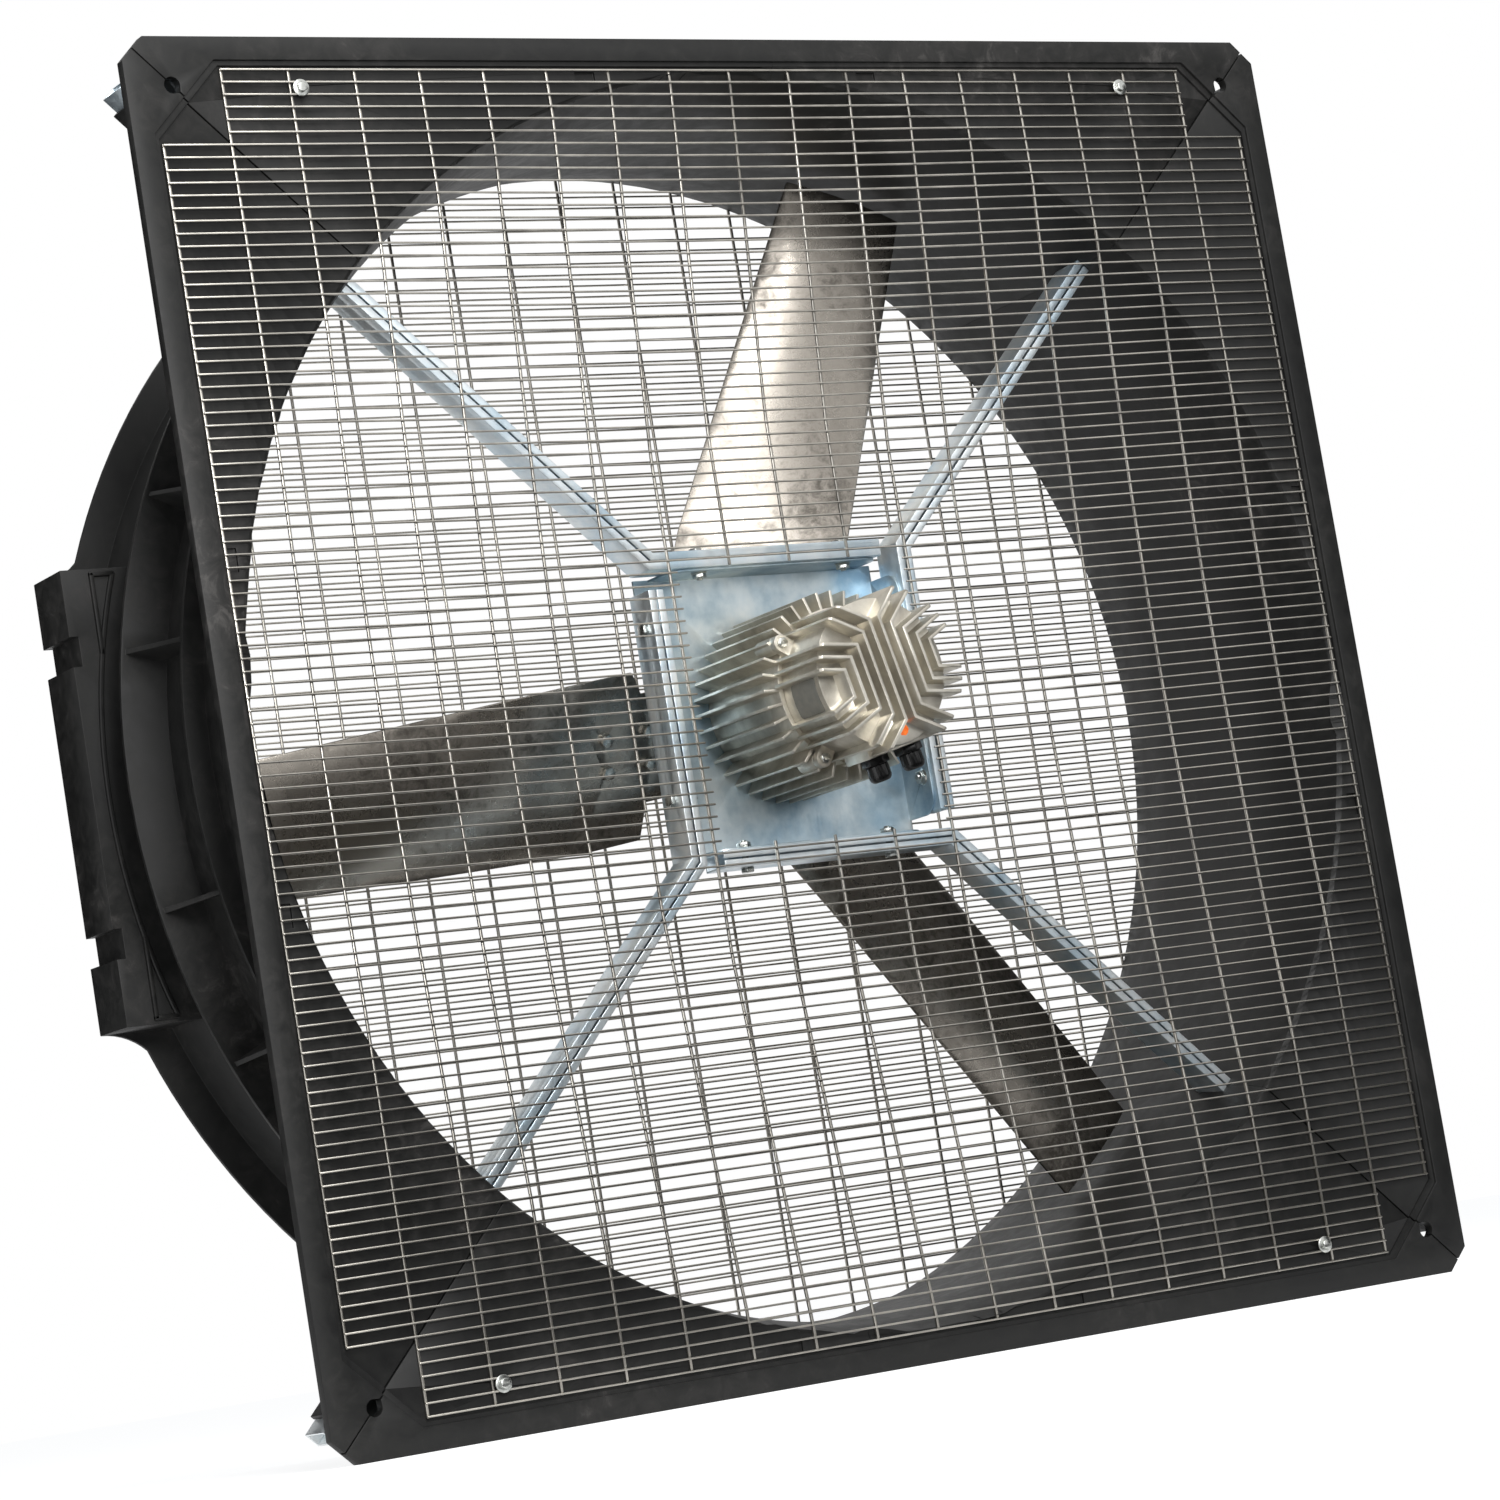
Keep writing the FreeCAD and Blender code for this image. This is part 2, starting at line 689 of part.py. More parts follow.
def straight_runs(path, slack):
    """The path without the points that lie within the slack of a straight run."""
    kept, first = [path[0]], 0
    for last in range(2, len(path) + 1):
        (x0, y0), (x1, y1) = path[first], path[min(last, len(path) - 1)]
        between = path[first + 1:last]
        off = [abs(y0 + (y1 - y0) * (x - x0) / (x1 - x0) - y) for x, y in between]
        if last == len(path) or max(off) > slack:
            first = last - 1
            kept.append(path[first])
    return kept


def grille_wire(across, crossings, limit, gap, depth, thick, upright):
    """The runs of one grille wire: from rim to rim, or up to the window on both sides of it."""
    runs = [(-limit, limit)] if gap is None else [(-limit, -gap), (gap, limit)]
    wires = []
    for low, high in runs:
        stops = [low] + [stop for stop in crossings if low < stop < high] + [high]
        path = [(stop, depth + grille_dish(across, stop)) for stop in stops]
        wires.append(wire(across, straight_runs(path, value("weld_gap") / 4), thick, upright))
    return wires


def front_grille():
    pitch, step = value("grille_pitch"), value(GRILLE_STEP)
    thick, cross = value("grille_wire"), value("cross_wire")
    columns, rows = int(value("grille_columns / 2")), int(value("grille_rows_per_side"))
    notch = int(value("grille_notch_rows"))
    window_x, window_z = int(value("window_columns")), int(value("window_rows"))
    stub = value("grille_stub")
    upright_depth = value("recess_depth - grille_wire / 2")
    cross_depth = value("recess_depth - grille_wire - weld_gap - cross_wire / 2")
    across_stops = [column * pitch for column in range(-columns, columns + 1)]
    up_stops = [line * step for line in range(-rows, rows + 1)]
    wires = []
    for column in range(-columns, columns + 1):
        limit = step * (rows - notch if abs(column) == columns else rows) + thick / 2
        gap = window_z * step - stub if abs(column) < window_x else None
        wires += grille_wire(column * pitch, up_stops, limit, gap, upright_depth, thick, True)
    for line in range(-rows, rows + 1):
        limit = pitch * (columns - 1 if abs(line) > rows - notch else columns) + thick / 2
        gap = window_x * pitch - stub if abs(line) < window_z else None
        wires += grille_wire(line * step, across_stops, limit, gap, cross_depth, cross, False)
    feature = doc.addObject("Part::Feature", "front_grille")
    feature.Shape = Part.makeCompound(wires)
    return keep(feature, "front_grille")


def rear_guard():
    """A round guard of the same mesh, lying flat on the back of the housing."""
    radius = value("guard_radius + grille_pitch / 2")
    lines = ((value("grille_pitch"), "grille_wire", "housing_depth + grille_wire / 2", True),
             (value(GRILLE_STEP), "cross_wire", "housing_depth + grille_wire + cross_wire / 2", False))
    wires = []
    for spacing, thick, middle, upright in lines:
        depth = value(middle)
        count = int(value("guard_radius") / spacing)
        for number in range(-count, count + 1):
            place = number * spacing
            reach = math.sqrt(radius ** 2 - place ** 2)
            wires.append(wire(place, [(-reach, depth), (reach, depth)], value(thick), upright))
    feature = doc.addObject("Part::Feature", "rear_guard")
    feature.Shape = Part.makeCompound(wires)
    return keep(feature, "rear_guard")


front_grille()
rear_guard()


# Struts: folded sheet channels, each a radial arm that bends into one side of the motor's square


def strut(name, turn):
    body = new_body(f"strut_{name}")
    centre = "(strut_square / 2)"
    front, back = "strut_front", "(strut_front + strut_depth)"
    low, high = f"({centre} - strut_width / 2)", f"({centre} + strut_width / 2)"
    lip_low, lip_high = f"{centre} - strut_slot / 2", f"{centre} + strut_slot / 2"
    section = sketch_on(body, "channel", "YZ_Plane", f"{centre} - strut_bar_gap")
    outline(section, [
        (front, lip_low), (front, low), (back, low), (back, high), (front, high), (front, lip_high),
        (f"{front} + strut_wall", lip_high), (f"{front} + strut_wall", f"{high} - strut_wall"),
        (f"{back} - strut_wall", f"{high} - strut_wall"), (f"{back} - strut_wall", f"{low} + strut_wall"),
        (f"{front} + strut_wall", f"{low} + strut_wall"), (f"{front} + strut_wall", lip_low)])
    path = front_sketch(body, "centre_line", STRUT_MIDDLE)
    far = f"strut_end_radius * {ROOT_HALF}"
    stations = [(f"{centre} - strut_bar_gap", centre), (f"-{centre}", centre), (f"-{far}", far)]
    points = [Vector(value(across), value(up), 0) for across, up in stations]
    for number in range(2):
        path.addGeometry(Part.LineSegment(points[number], points[number + 1]))
        fix(path, "DistanceX", number, 1, stations[number][0])
        fix(path, "DistanceY", number, 1, stations[number][1])
    path.addConstraint(Sketcher.Constraint("Coincident", 0, 2, 1, 1))
    fix(path, "DistanceX", 1, 2, stations[2][0])
    fix(path, "DistanceY", 1, 2, stations[2][1])
    pipe = body.newObject("PartDesign::AdditivePipe", "fold")
    pipe.Profile = section
    pipe.Spine = path
    pipe.Transition = "Right corner"
    bar_holes = sketch_on(body, "bar_holes", "XY_Plane", centre)
    for side in ("", "-"):
        circle(bar_holes, f"{side}strut_bolt_spacing / 2", STRUT_MIDDLE, "strut_bolt_radius")
    pocket(body, bar_holes, "2 * strut_width", both_ways=True)
    arm_holes = side_sketch(body, "arm_holes", -45)
    for place in ("anchor_inner", "anchor_outer"):
        circle(arm_holes, STRUT_MIDDLE, place, "anchor_bolt_radius")
    pocket(body, arm_holes, "2 * strut_width", both_ways=True)
    return keep(body, f"strut_{name}", turned(turn))


STRUTS = {"top_left": 0, "top_right": 90, "bottom_right": 180, "bottom_left": 270}
for strut_name, strut_turn in STRUTS.items():
    strut(strut_name, strut_turn)


# Motor plate: a tray whose four flanges are bolted inside the square of struts


def motor_plate():
    body = new_body("motor_plate")
    half = f"({PLATE_HALF} - fit_clearance)"
    floor = front_sketch(body, "floor", "plate_depth")
    rectangle(floor, f"-{half}", half, f"-{half}", half)
    circle(floor, "0", "0", "plate_hole_radius")
    for across in ("", "-"):
        for up in ("", "-"):
            circle(floor, f"{across}motor_bolt_circle / 2 * {ROOT_HALF}",
                   f"{up}motor_bolt_circle / 2 * {ROOT_HALF}", "motor_bolt_radius")
    pad(body, floor, "plate_thick")
    flange = sketch_on(body, "flange", "XY_Plane", f"{half} - plate_thick")
    side, front = "plate_flange_length / 2", f"({PLATE_BACK} - plate_flange)"
    outline(flange, [
        (side, PLATE_BACK), (f"-{side}", PLATE_BACK), (f"-{side}", f"{front} + plate_corner"),
        (f"-({side} - plate_corner)", front, "plate_corner", "left"),
        (f"{side} - plate_corner", front),
        (side, f"{front} + plate_corner", "plate_corner", "left")])
    for edge in ("", "-"):
        circle(flange, f"{edge}strut_bolt_spacing / 2", STRUT_MIDDLE, "strut_bolt_radius")
    polar(body, feature_from(body, "Pad", flange, Length="plate_thick"), "4")
    return keep(body, "motor_plate")


motor_plate()


# Motor: finned body on the plate, bearing shield, stator, ribbed end cap over the drive board


def motor_body():
    body = new_body("motor_body")
    wall_front = "(plate_depth - motor_back_wall)"
    seat_end = f"({wall_front} + bearing_width)"
    core = side_sketch(body, "core")
    outline(core, [
        (MOTOR_FRONT, "motor_bore_radius"), (wall_front, "motor_bore_radius"),
        (wall_front, "bearing_radius"), (seat_end, "bearing_radius"), (seat_end, "seal_radius"),
        ("plate_depth", "seal_radius"), ("plate_depth", "motor_core_radius"),
        (MOTOR_FRONT, "motor_core_radius")])
    revolve(body, core)
    fin = front_sketch(body, "fin", MOTOR_FRONT)
    root = "(motor_core_radius + motor_bore_radius) / 2"
    rectangle(fin, "-motor_fin_thick / 2", "motor_fin_thick / 2", root, FIN_RADIUS)
    polar(body, pad(body, fin, "motor_length"), "motor_fin_count")
    across, up = (f"cap_screw_circle / 2 * {part}(45 + motor_turn)" for part in ("cos", "sin"))
    boss = front_sketch(body, "boss", MOTOR_FRONT)
    circle(boss, across, up, "cap_boss_radius")
    polar(body, pad(body, boss, "cap_boss_length"), "4")
    screw_hole = front_sketch(body, "screw_hole", MOTOR_FRONT)
    circle(screw_hole, across, up, "cap_screw_radius")
    polar(body, pocket(body, screw_hole, "cap_boss_length - cap_screw_radius"), "4")
    bolt_hole = front_sketch(body, "bolt_hole", wall_front + " + motor_bolt_radius")
    bolt_place = f"motor_bolt_circle / 2 * {ROOT_HALF}"
    circle(bolt_hole, bolt_place, bolt_place, "motor_bolt_radius")
    polar(body, pocket(body, bolt_hole, "motor_back_wall - motor_bolt_radius"), "4")
    return keep(body, "motor_body")


def bearing_shield():
    body = new_body("bearing_shield")
    back = f"({MOTOR_FRONT} + shield_thick)"
    seat = f"({back} - bearing_width)"
    rim = "motor_bore_radius - fit_clearance"
    section = side_sketch(body, "shield_section")
    outline(section, [
        (MOTOR_FRONT, "seal_radius"), (seat, "seal_radius"), (seat, "bearing_radius"),
        (back, "bearing_radius"), (back, rim), (MOTOR_FRONT, rim)])
    revolve(body, section)
    return keep(body, "bearing_shield")


def cap_rib(number):
    """Outline of one bent cooling rib right of the middle: an upright run whose two arms spread
    to the right. The ribs get shorter from the middle outwards."""
    middle = f"(cap_rib_pitch * {number + 0.5})"
    corner = f"(cap_rib_reach - cap_rib_drop * {number})"
    slope = "cap_steep_arm" if number < value("cap_steep_ribs") else "cap_flat_arm"
    half, length = "(cap_rib_thick / 2)", f"sqrt(1 + {slope}^2)"
    end = f"({corner} + {slope} * (cap_radius - {middle}))"
    upper = []
    for out in ("+", "-"):
        inward = "-" if out == "+" else "+"
        upper.append([("cap_radius", f"{end} {out} {half} * {length}"),
                      (f"{middle} {inward} {half}", f"{corner} {out} {half} * ({length} - {slope})")])
    lower = [[(across, f"-({up})") for across, up in reversed(run)] for run in upper]
    return upper[0] + lower[0] + list(reversed(upper[1] + lower[1]))


def motor_end_cap():
    body = new_body("motor_end_cap")
    core = front_sketch(body, "cap_core", CAP_BASE_FRONT)
    circle(core, "0", "0", "cap_core_radius")
    pad(body, core, "cap_base")
    ribs = front_sketch(body, "cap_ribs", CAP_FRONT)
    for number in range(int(value("cap_rib_count"))):
        outline(ribs, cap_rib(number))
        outline(ribs, mirrored(cap_rib(number)))
    pad(body, ribs, "cap_rib_height + cap_base")
    trim = side_sketch(body, "rib_trim")
    outline(trim, [(CAP_FRONT, "cap_radius - cap_bevel"), (f"{CAP_FRONT} + cap_bevel", "cap_radius"),
                   (MOTOR_FRONT, "cap_radius"), (MOTOR_FRONT, "2 * cap_radius"),
                   (CAP_FRONT, "2 * cap_radius")])
    feature_from(body, "Groove", trim, Angle="360").ReferenceAxis = (trim, ["H_Axis"])
    block = front_sketch(body, "gland_block", f"{GLAND_DEPTH} - gland_block_depth / 2")
    rectangle(block, "-gland_block_width / 2", "gland_block_width / 2", "-gland_seat",
              "board_ledge - board_radius")
    pad(body, block, "gland_block_depth")
    lug_front = f"({MOTOR_FRONT} - cap_lug_thick)"
    lug = front_sketch(body, "cap_lug", lug_front)
    lug_end, bend = "cap_screw_circle / 2", ("cap_boss_radius", "left")
    corners = [("board_radius", "-cap_boss_radius"), (lug_end, "-cap_boss_radius"),
               (f"{lug_end} + cap_boss_radius", "0", *bend), (lug_end, "cap_boss_radius", *bend),
               ("board_radius", "cap_boss_radius")]
    outline(lug, [(f"(({a}) - ({b})) * {ROOT_HALF}", f"(({a}) + ({b})) * {ROOT_HALF}", *rest)
                  for a, b, *rest in corners])
    polar(body, pad(body, lug, "cap_lug_thick"), "4")
    place = f"cap_screw_circle / 2 * {ROOT_HALF}"
    head_room = front_sketch(body, "head_room", CAP_FRONT)
    circle(head_room, place, place, "cap_boss_radius")
    polar(body, pocket(body, head_room, f"{lug_front} - {CAP_FRONT}"), "4")
    screw_hole = front_sketch(body, "cap_screw_hole", lug_front)
    circle(screw_hole, place, place, "cap_screw_radius")
    polar(body, pocket(body, screw_hole, "cap_lug_thick"), "4")
    cavity = front_sketch(body, "cavity", f"{CAP_BASE_FRONT} + cap_wall")
    circle(cavity, "0", "0", "board_radius - board_ledge")
    pocket(body, cavity, "cap_base - cap_wall")
    seat = front_sketch(body, "board_seat", GLAND_DEPTH)
    circle(seat, "0", "0", "board_radius + fit_clearance")
    pocket(body, seat, "cap_base / 2")
    glands = sketch_on(body, "gland_holes", "XY_Plane", "-gland_seat")
    for side in ("", "-"):
        circle(glands, f"{side}gland_spacing / 2", GLAND_DEPTH, "gland_stub_radius + fit_clearance")
    drilled = pocket(body, glands, "gland_seat - board_radius + board_ledge + gland_stub_radius")
    drilled.Reversed = True
    return keep(body, "motor_end_cap", turned(-value("motor_turn")))


motor_body()
bearing_shield()
motor_end_cap()
SHIELD_SEAT = f"({MOTOR_FRONT} + shield_thick - bearing_width)"
WALL_SEAT = "(plate_depth - motor_back_wall)"
RUNNING_BORE = "shaft_radius + fit_clearance"
ring_body("front_bearing", RUNNING_BORE, "bearing_radius - fit_clearance", SHIELD_SEAT, "bearing_width")
ring_body("rear_bearing", RUNNING_BORE, "bearing_radius - fit_clearance", WALL_SEAT, "bearing_width")
ring_body("shaft_seal", RUNNING_BORE, "seal_radius - fit_clearance", f"({WALL_SEAT} + bearing_width)",
          "motor_back_wall - bearing_width")
ring_body("stator_core", "stator_bore_radius", "motor_bore_radius - fit_clearance", STATOR_FRONT,
          "stator_length")
ring_body("drive_board", "seal_radius", "board_radius", GLAND_DEPTH, "board_thick")


def stator_windings():
    """The coil heads that stand out at both ends of the stator."""
    inner, outer = value("stator_bore_radius + magnet_thick"), value("motor_bore_radius - magnet_thick")
    length = value("winding_length")
    head = Part.makeCylinder(outer, length).cut(Part.makeCylinder(inner, length))
    starts = [value(f"{STATOR_FRONT} - winding_length"), value(f"{STATOR_FRONT} + stator_length")]
    return group("stator_windings", head, [along(Vector(0, start, 0), AXIS) for start in starts])


def cable_glands():
    """Two open glands under the end cap, with their threaded stubs in its wall."""
    flats, length = value("gland_flats"), value("gland_length")
    stub, bore = value("gland_stub_length"), value("gland_bore_radius")
    nut = hex_prism(flats, value("gland_nut_length"))
    dome = Part.makeCylinder(value("gland_dome_radius"), length)
    thread = Part.makeCylinder(value("gland_stub_radius"), stub, Vector(0, 0, -stub))
    shape = nut.fuse([dome, thread]).cut(Part.makeCylinder(bore, length + stub, Vector(0, 0, -stub)))
    depth, seat = value(GLAND_DEPTH), value("-gland_seat")
    seats = [along(Vector(value(f"{side}gland_spacing / 2"), depth, seat), Vector(0, 0, -1))
             for side in ("", "-")]
    turn = turned(-value("motor_turn"))
    return group("cable_glands", shape, [turn.multiply(place) for place in seats])


stator_windings()
cable_glands()


# Propeller: shaft, magnet rotor, hub with three sloped arms and a sheet blade on each


def motor_shaft():
    body = new_body("motor_shaft")
    section = side_sketch(body, "shaft_section")
    rectangle(section, SHIELD_SEAT, HUB_BACK, "0", "shaft_radius")
    revolve(body, section)
    keyway = front_sketch(body, "keyway", HUB_FRONT)
    rectangle(keyway, "-key_width / 2", "key_width / 2", "shaft_radius - key_width / 2", "shaft_radius * 2")
    pocket(body, keyway, "hub_length")
    tapped = front_sketch(body, "tapped_end", f"{HUB_BACK} - hub_bolt_length")
    circle(tapped, "0", "0", "hub_bolt_radius")
    pocket(body, tapped, "hub_bolt_length")
    return keep(body, "motor_shaft", turned(value("propeller_angle")))


def rotor_magnets():
    inner, length = value(f"{ROTOR_RADIUS} + fit_clearance"), value("stator_length")
    outer = value("stator_bore_radius - air_gap")
    count = int(value("magnet_count"))
    span = 360 / count * value("magnet_cover")
    tile = Part.makeCylinder(outer, length, Vector(0, 0, 0), Vector(0, 0, 1), span)
    tile = tile.cut(Part.makeCylinder(inner, length))
    at_rotor = along(Vector(0, value(STATOR_FRONT), 0), AXIS)
    return group("rotor_magnets", tile, [turned(360 * k / count).multiply(at_rotor) for k in range(count)])


def seat_sketch(body, name):
    """A sketch on the sloped face where a blade meets its arm: chord across, radius up."""
    slope = Rotation(Vector(0, -1, 0), value("blade_pitch"))
    sketch = sketch_on(body, name, "XZ_Plane", f"-({BLADE_DEPTH})", slope)
    sketch.setExpression("AttachmentOffset.Rotation.Angle", linked("blade_pitch"))
    return sketch


def blade_bolt_places():
    rows = ("blade_inner + blade_bolt_edge", "blade_inner + blade_bolt_edge + blade_bolt_rows")
    return [(f"{side}blade_bolt_pitch / 2", row) for side in ("", "-") for row in rows]


def propeller_hub():
    body = new_body("propeller_hub")
    boss = side_sketch(body, "hub_boss")
    rectangle(boss, HUB_FRONT, HUB_BACK, RUNNING_BORE, "hub_radius")
    revolve(body, boss)
    arm = seat_sketch(body, "arm")
    rectangle(arm, "-arm_width / 2", "arm_width / 2", "arm_start", "arm_start + arm_length")
    for across, up in blade_bolt_places():
        circle(arm, across, up, "blade_bolt_radius")
    polar(body, pad(body, arm, "arm_thick"), "blade_count")
    keyway = front_sketch(body, "hub_keyway", HUB_FRONT)
    rectangle(keyway, "-key_width / 2", "key_width / 2", "0", "shaft_radius + key_width / 2")
    pocket(body, keyway, "hub_length")
    return keep(body, "propeller_hub", turned(value("propeller_angle")))


def blade_section(body, name, radius, lead, trail, twist, camber):
    """A cross-section of the bent sheet at a radius: round the hub across, depth up."""
    angle = f"({twist} - blade_pitch)"
    chord = f"({lead} + {trail})"
    sketch = sketch_on(body, name, "XY_Plane", radius)

    def corner(along_chord, off):
        return (f"{along_chord} * cos({angle}) + {off} * sin({angle})",
                f"{BLADE_DEPTH} + {along_chord} * sin({angle}) - {off} * cos({angle})")

    corners = [corner(f"(-{lead})", "0"), corner(trail, "0"), corner(trail, "blade_thick"),
               corner(f"(-{lead})", "blade_thick")]
    if camber is not None:
        bend = f"(({chord}^2 / 4 + {camber}^2) / (2 * {camber}))"
        corners[1] += (bend, "left")
        corners[3] += (f"({bend} + blade_thick)", "right")
    outline(sketch, corners)
    return sketch


def blade(number):
    body = new_body(f"blade_{number + 1}")
    tab = seat_sketch(body, "tab")
    outline(tab, [
        ("tab_width / 2", "blade_inner"), ("tab_width / 2", "tab_shoulder"),
        ("root_trail", "tab_shoulder + tab_slope"), ("root_trail", "blade_root"),
        ("-root_lead", "blade_root"), ("-root_lead", "tab_shoulder + tab_slope"),
        ("-tab_width / 2", "tab_shoulder"), ("-tab_width / 2", "blade_inner")])
    for across, up in blade_bolt_places():
        circle(tab, across, up, "blade_bolt_radius")
    feature_from(body, "Pad", tab, Length="blade_thick")
    tip = "sqrt(propeller_radius^2 - tip_trail^2)"
    root = blade_section(body, "root", "blade_root", "root_lead", "root_trail", "0", None)
    sections = [
        blade_section(body, "middle", "blade_middle", "middle_lead", "middle_trail",
                      "blade_middle_twist", "middle_camber"),
        blade_section(body, "tip", tip, "tip_lead", "tip_trail", "blade_tip_twist", "tip_camber")]
    loft = body.newObject("PartDesign::AdditiveLoft", "sheet")
    loft.Profile = root
    loft.Sections = sections
    spread = 360 / value("blade_count")
    return keep(body, f"blade_{number + 1}", turned(value("propeller_angle") + spread * number))


def hub_key():
    box = doc.addObject("Part::Box", "hub_key")
    bind(box, Length="key_width - 2 * fit_clearance", Width="hub_length - key_width",
         Height="key_width - 2 * fit_clearance")
    corner = Vector(value("fit_clearance - key_width / 2"), value(f"{HUB_FRONT} + key_width / 2"),
                    value("shaft_radius - key_width / 2 + fit_clearance"))
    return keep(box, "hub_key", turned(value("propeller_angle")).multiply(Placement(corner, Rotation())))


motor_shaft()
ring_body("rotor_core", RUNNING_BORE, ROTOR_RADIUS, STATOR_FRONT, "stator_length")
rotor_magnets()
propeller_hub()
for blade_number in range(int(value("blade_count"))):
    blade(blade_number)
hub_key()
ring_body("hub_washer", "hub_bolt_radius", "hub_washer_radius", HUB_BACK, "hub_washer_thick")


# Fasteners


def at_quarters(placements):
    return [turned(turn).multiply(place) for turn in QUARTERS.values() for place in placements]


def hub_bolt():
    head = Vector(0, value(f"{HUB_BACK} + hub_washer_thick"), 0)
    shape = hex_bolt(value("hub_bolt_radius"), value("hub_bolt_length"))
    return group("hub_bolt", shape, [along(head, Vector(0, -1, 0))])


def blade_bolts():
    slope = math.radians(-value("blade_pitch"))
    chord, normal = Vector(math.cos(slope), math.sin(slope), 0), Vector(-math.sin(slope), math.cos(slope), 0)
    seat = Vector(0, value(BLADE_DEPTH), 0)
    points = [seat + chord * value(across) + Vector(0, 0, value(up)) for across, up in blade_bolt_places()]
    count = int(value("blade_count"))
    turns = [turned(value("propeller_angle") + 360 * k / count) for k in range(count)]
    sheet_thick, arm = value("blade_thick"), value("arm_thick")
    radius = value("blade_bolt_radius")
    heads = [turn.multiply(along(p - normal * sheet_thick, normal)) for turn in turns for p in points]
    nuts = [turn.multiply(along(p + normal * arm, normal)) for turn in turns for p in points]
    group("blade_bolts", hex_bolt(radius, sheet_thick + arm + 2 * radius), heads)
    group("blade_nuts", hex_nut(radius), nuts)


def strut_bolts():
    """Bolts down through each strut bar and the plate's flange, with nuts inside."""
    outside = value("(strut_square + strut_width) / 2")
    inside = value(f"{PLATE_HALF} - fit_clearance - plate_thick")
    radius, depth = value("strut_bolt_radius"), value(STRUT_MIDDLE)
    down = Vector(0, 0, -1)
    across = [value("strut_bolt_spacing / 2"), value("-strut_bolt_spacing / 2")]
    group("strut_bolts", hex_bolt(radius, outside - inside + 2 * radius),
          at_quarters([along(Vector(x, depth, outside), down) for x in across]))
    group("strut_nuts", hex_nut(radius), at_quarters([along(Vector(x, depth, inside), down) for x in across]))


def seam_bolts():
    """Bolts across each seam: two through the barrel's flanges, two through the strut's walls."""
    radius = value("anchor_bolt_radius")
    seam = Vector(math.sqrt(0.5), 0, math.sqrt(0.5))
    off = Vector(math.sqrt(0.5), 0, -math.sqrt(0.5))
    flange, wall = value("moulded_wall"), value(f"{STRUT_SIDE} + moulded_wall")
    flange_points = [seam * value(SEAM_BOLT_RADIUS) + Vector(0, value(place), 0)
                     for place in SEAM_BOLT_PLACES]
    wall_points = [seam * value(place) + Vector(0, value(STRUT_MIDDLE), 0)
                   for place in ("anchor_inner", "anchor_outer")]
    nuts = []
    for label, points, reach in (("seam_bolts", flange_points, flange), ("anchor_bolts", wall_points, wall)):
        group(label, hex_bolt(radius, 2 * reach + 2 * radius),
              at_quarters([along(p + off * reach, off * -1) for p in points]))
        nuts += [along(p - off * reach, off * -1) for p in points]
    group("housing_nuts", hex_nut(radius), at_quarters(nuts))


def washer(radius):
    thick = value("washer_thick")
    return Part.makeCylinder(value("washer_radius"), thick).cut(Part.makeCylinder(radius, thick))


def mesh_screws():
    """Screws with washers that hold the grille in the recess and the guard on the rear lip."""
    radius, thick = value("anchor_bolt_radius"), value("washer_thick")
    across, up = value(GRILLE_SCREW_ACROSS), value(GRILLE_SCREW_UP)
    face = value("recess_depth - grille_wire - weld_gap - cross_wire")
    corners = [Vector(x, face, z) for x in (across, -across) for z in (up, -up)]
    back = Vector(0, thick, 0)
    group("grille_washers", washer(radius), [along(p - back, AXIS) for p in corners])
    group("grille_screws", hex_bolt(radius, value("panel_thick") - face + thick),
          [along(p - back, AXIS) for p in corners])
    step = value(GRILLE_STEP)
    shift, row = value("guard_screw_shift") * step, value("guard_screw_row") * step
    face = value("housing_depth + grille_wire + cross_wire")
    seats = [Vector(x, face, row) for x in (shift, -shift)]
    front = Vector(0, -1, 0)
    group("guard_washers", washer(radius), at_quarters([along(p, AXIS) for p in seats]))
    group("guard_screws", hex_bolt(radius, thick + value("grille_wire + cross_wire + flange_thick")),
          at_quarters([along(p + back, front) for p in seats]))


def motor_screws():
    """Bolts through the plate into the motor, and screws that hold its end cap."""
    place = value(f"motor_bolt_circle / 2 * {ROOT_HALF}")
    grip = value("plate_thick + motor_back_wall - 2 * motor_bolt_radius")
    group("motor_bolts", hex_bolt(value("motor_bolt_radius"), grip),
          at_quarters([along(Vector(place, value(PLATE_BACK), place), Vector(0, -1, 0))]))
    place = value(f"cap_screw_circle / 2 * {ROOT_HALF}")
    face = value(f"{MOTOR_FRONT} - cap_lug_thick")
    seat = turned(-value("motor_turn")).multiply(along(Vector(place, face, place), AXIS))
    group("cap_screws", hex_bolt(value("cap_screw_radius"), value("cap_lug_thick + cap_boss_length / 2")),
          at_quarters([seat]))


hub_bolt()
blade_bolts()
strut_bolts()
seam_bolts()
mesh_screws()
motor_screws()


# Checks and files

doc.recompute()
for thing in doc.Objects:
    if "Invalid" in thing.State or "Error" in thing.State:
        raise RuntimeError(f"{thing.Name} failed: {thing.State}")
os.makedirs("parts", exist_ok=True)
for part in sub_parts:
    if part.Shape.isNull() or not part.Shape.isValid():
        raise RuntimeError(f"{part.Label} has no valid shape")
    part.Shape.exportStep(f"parts/{part.Label}.step")
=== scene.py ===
import json
import math

import bpy
from mathutils import Matrix, Vector


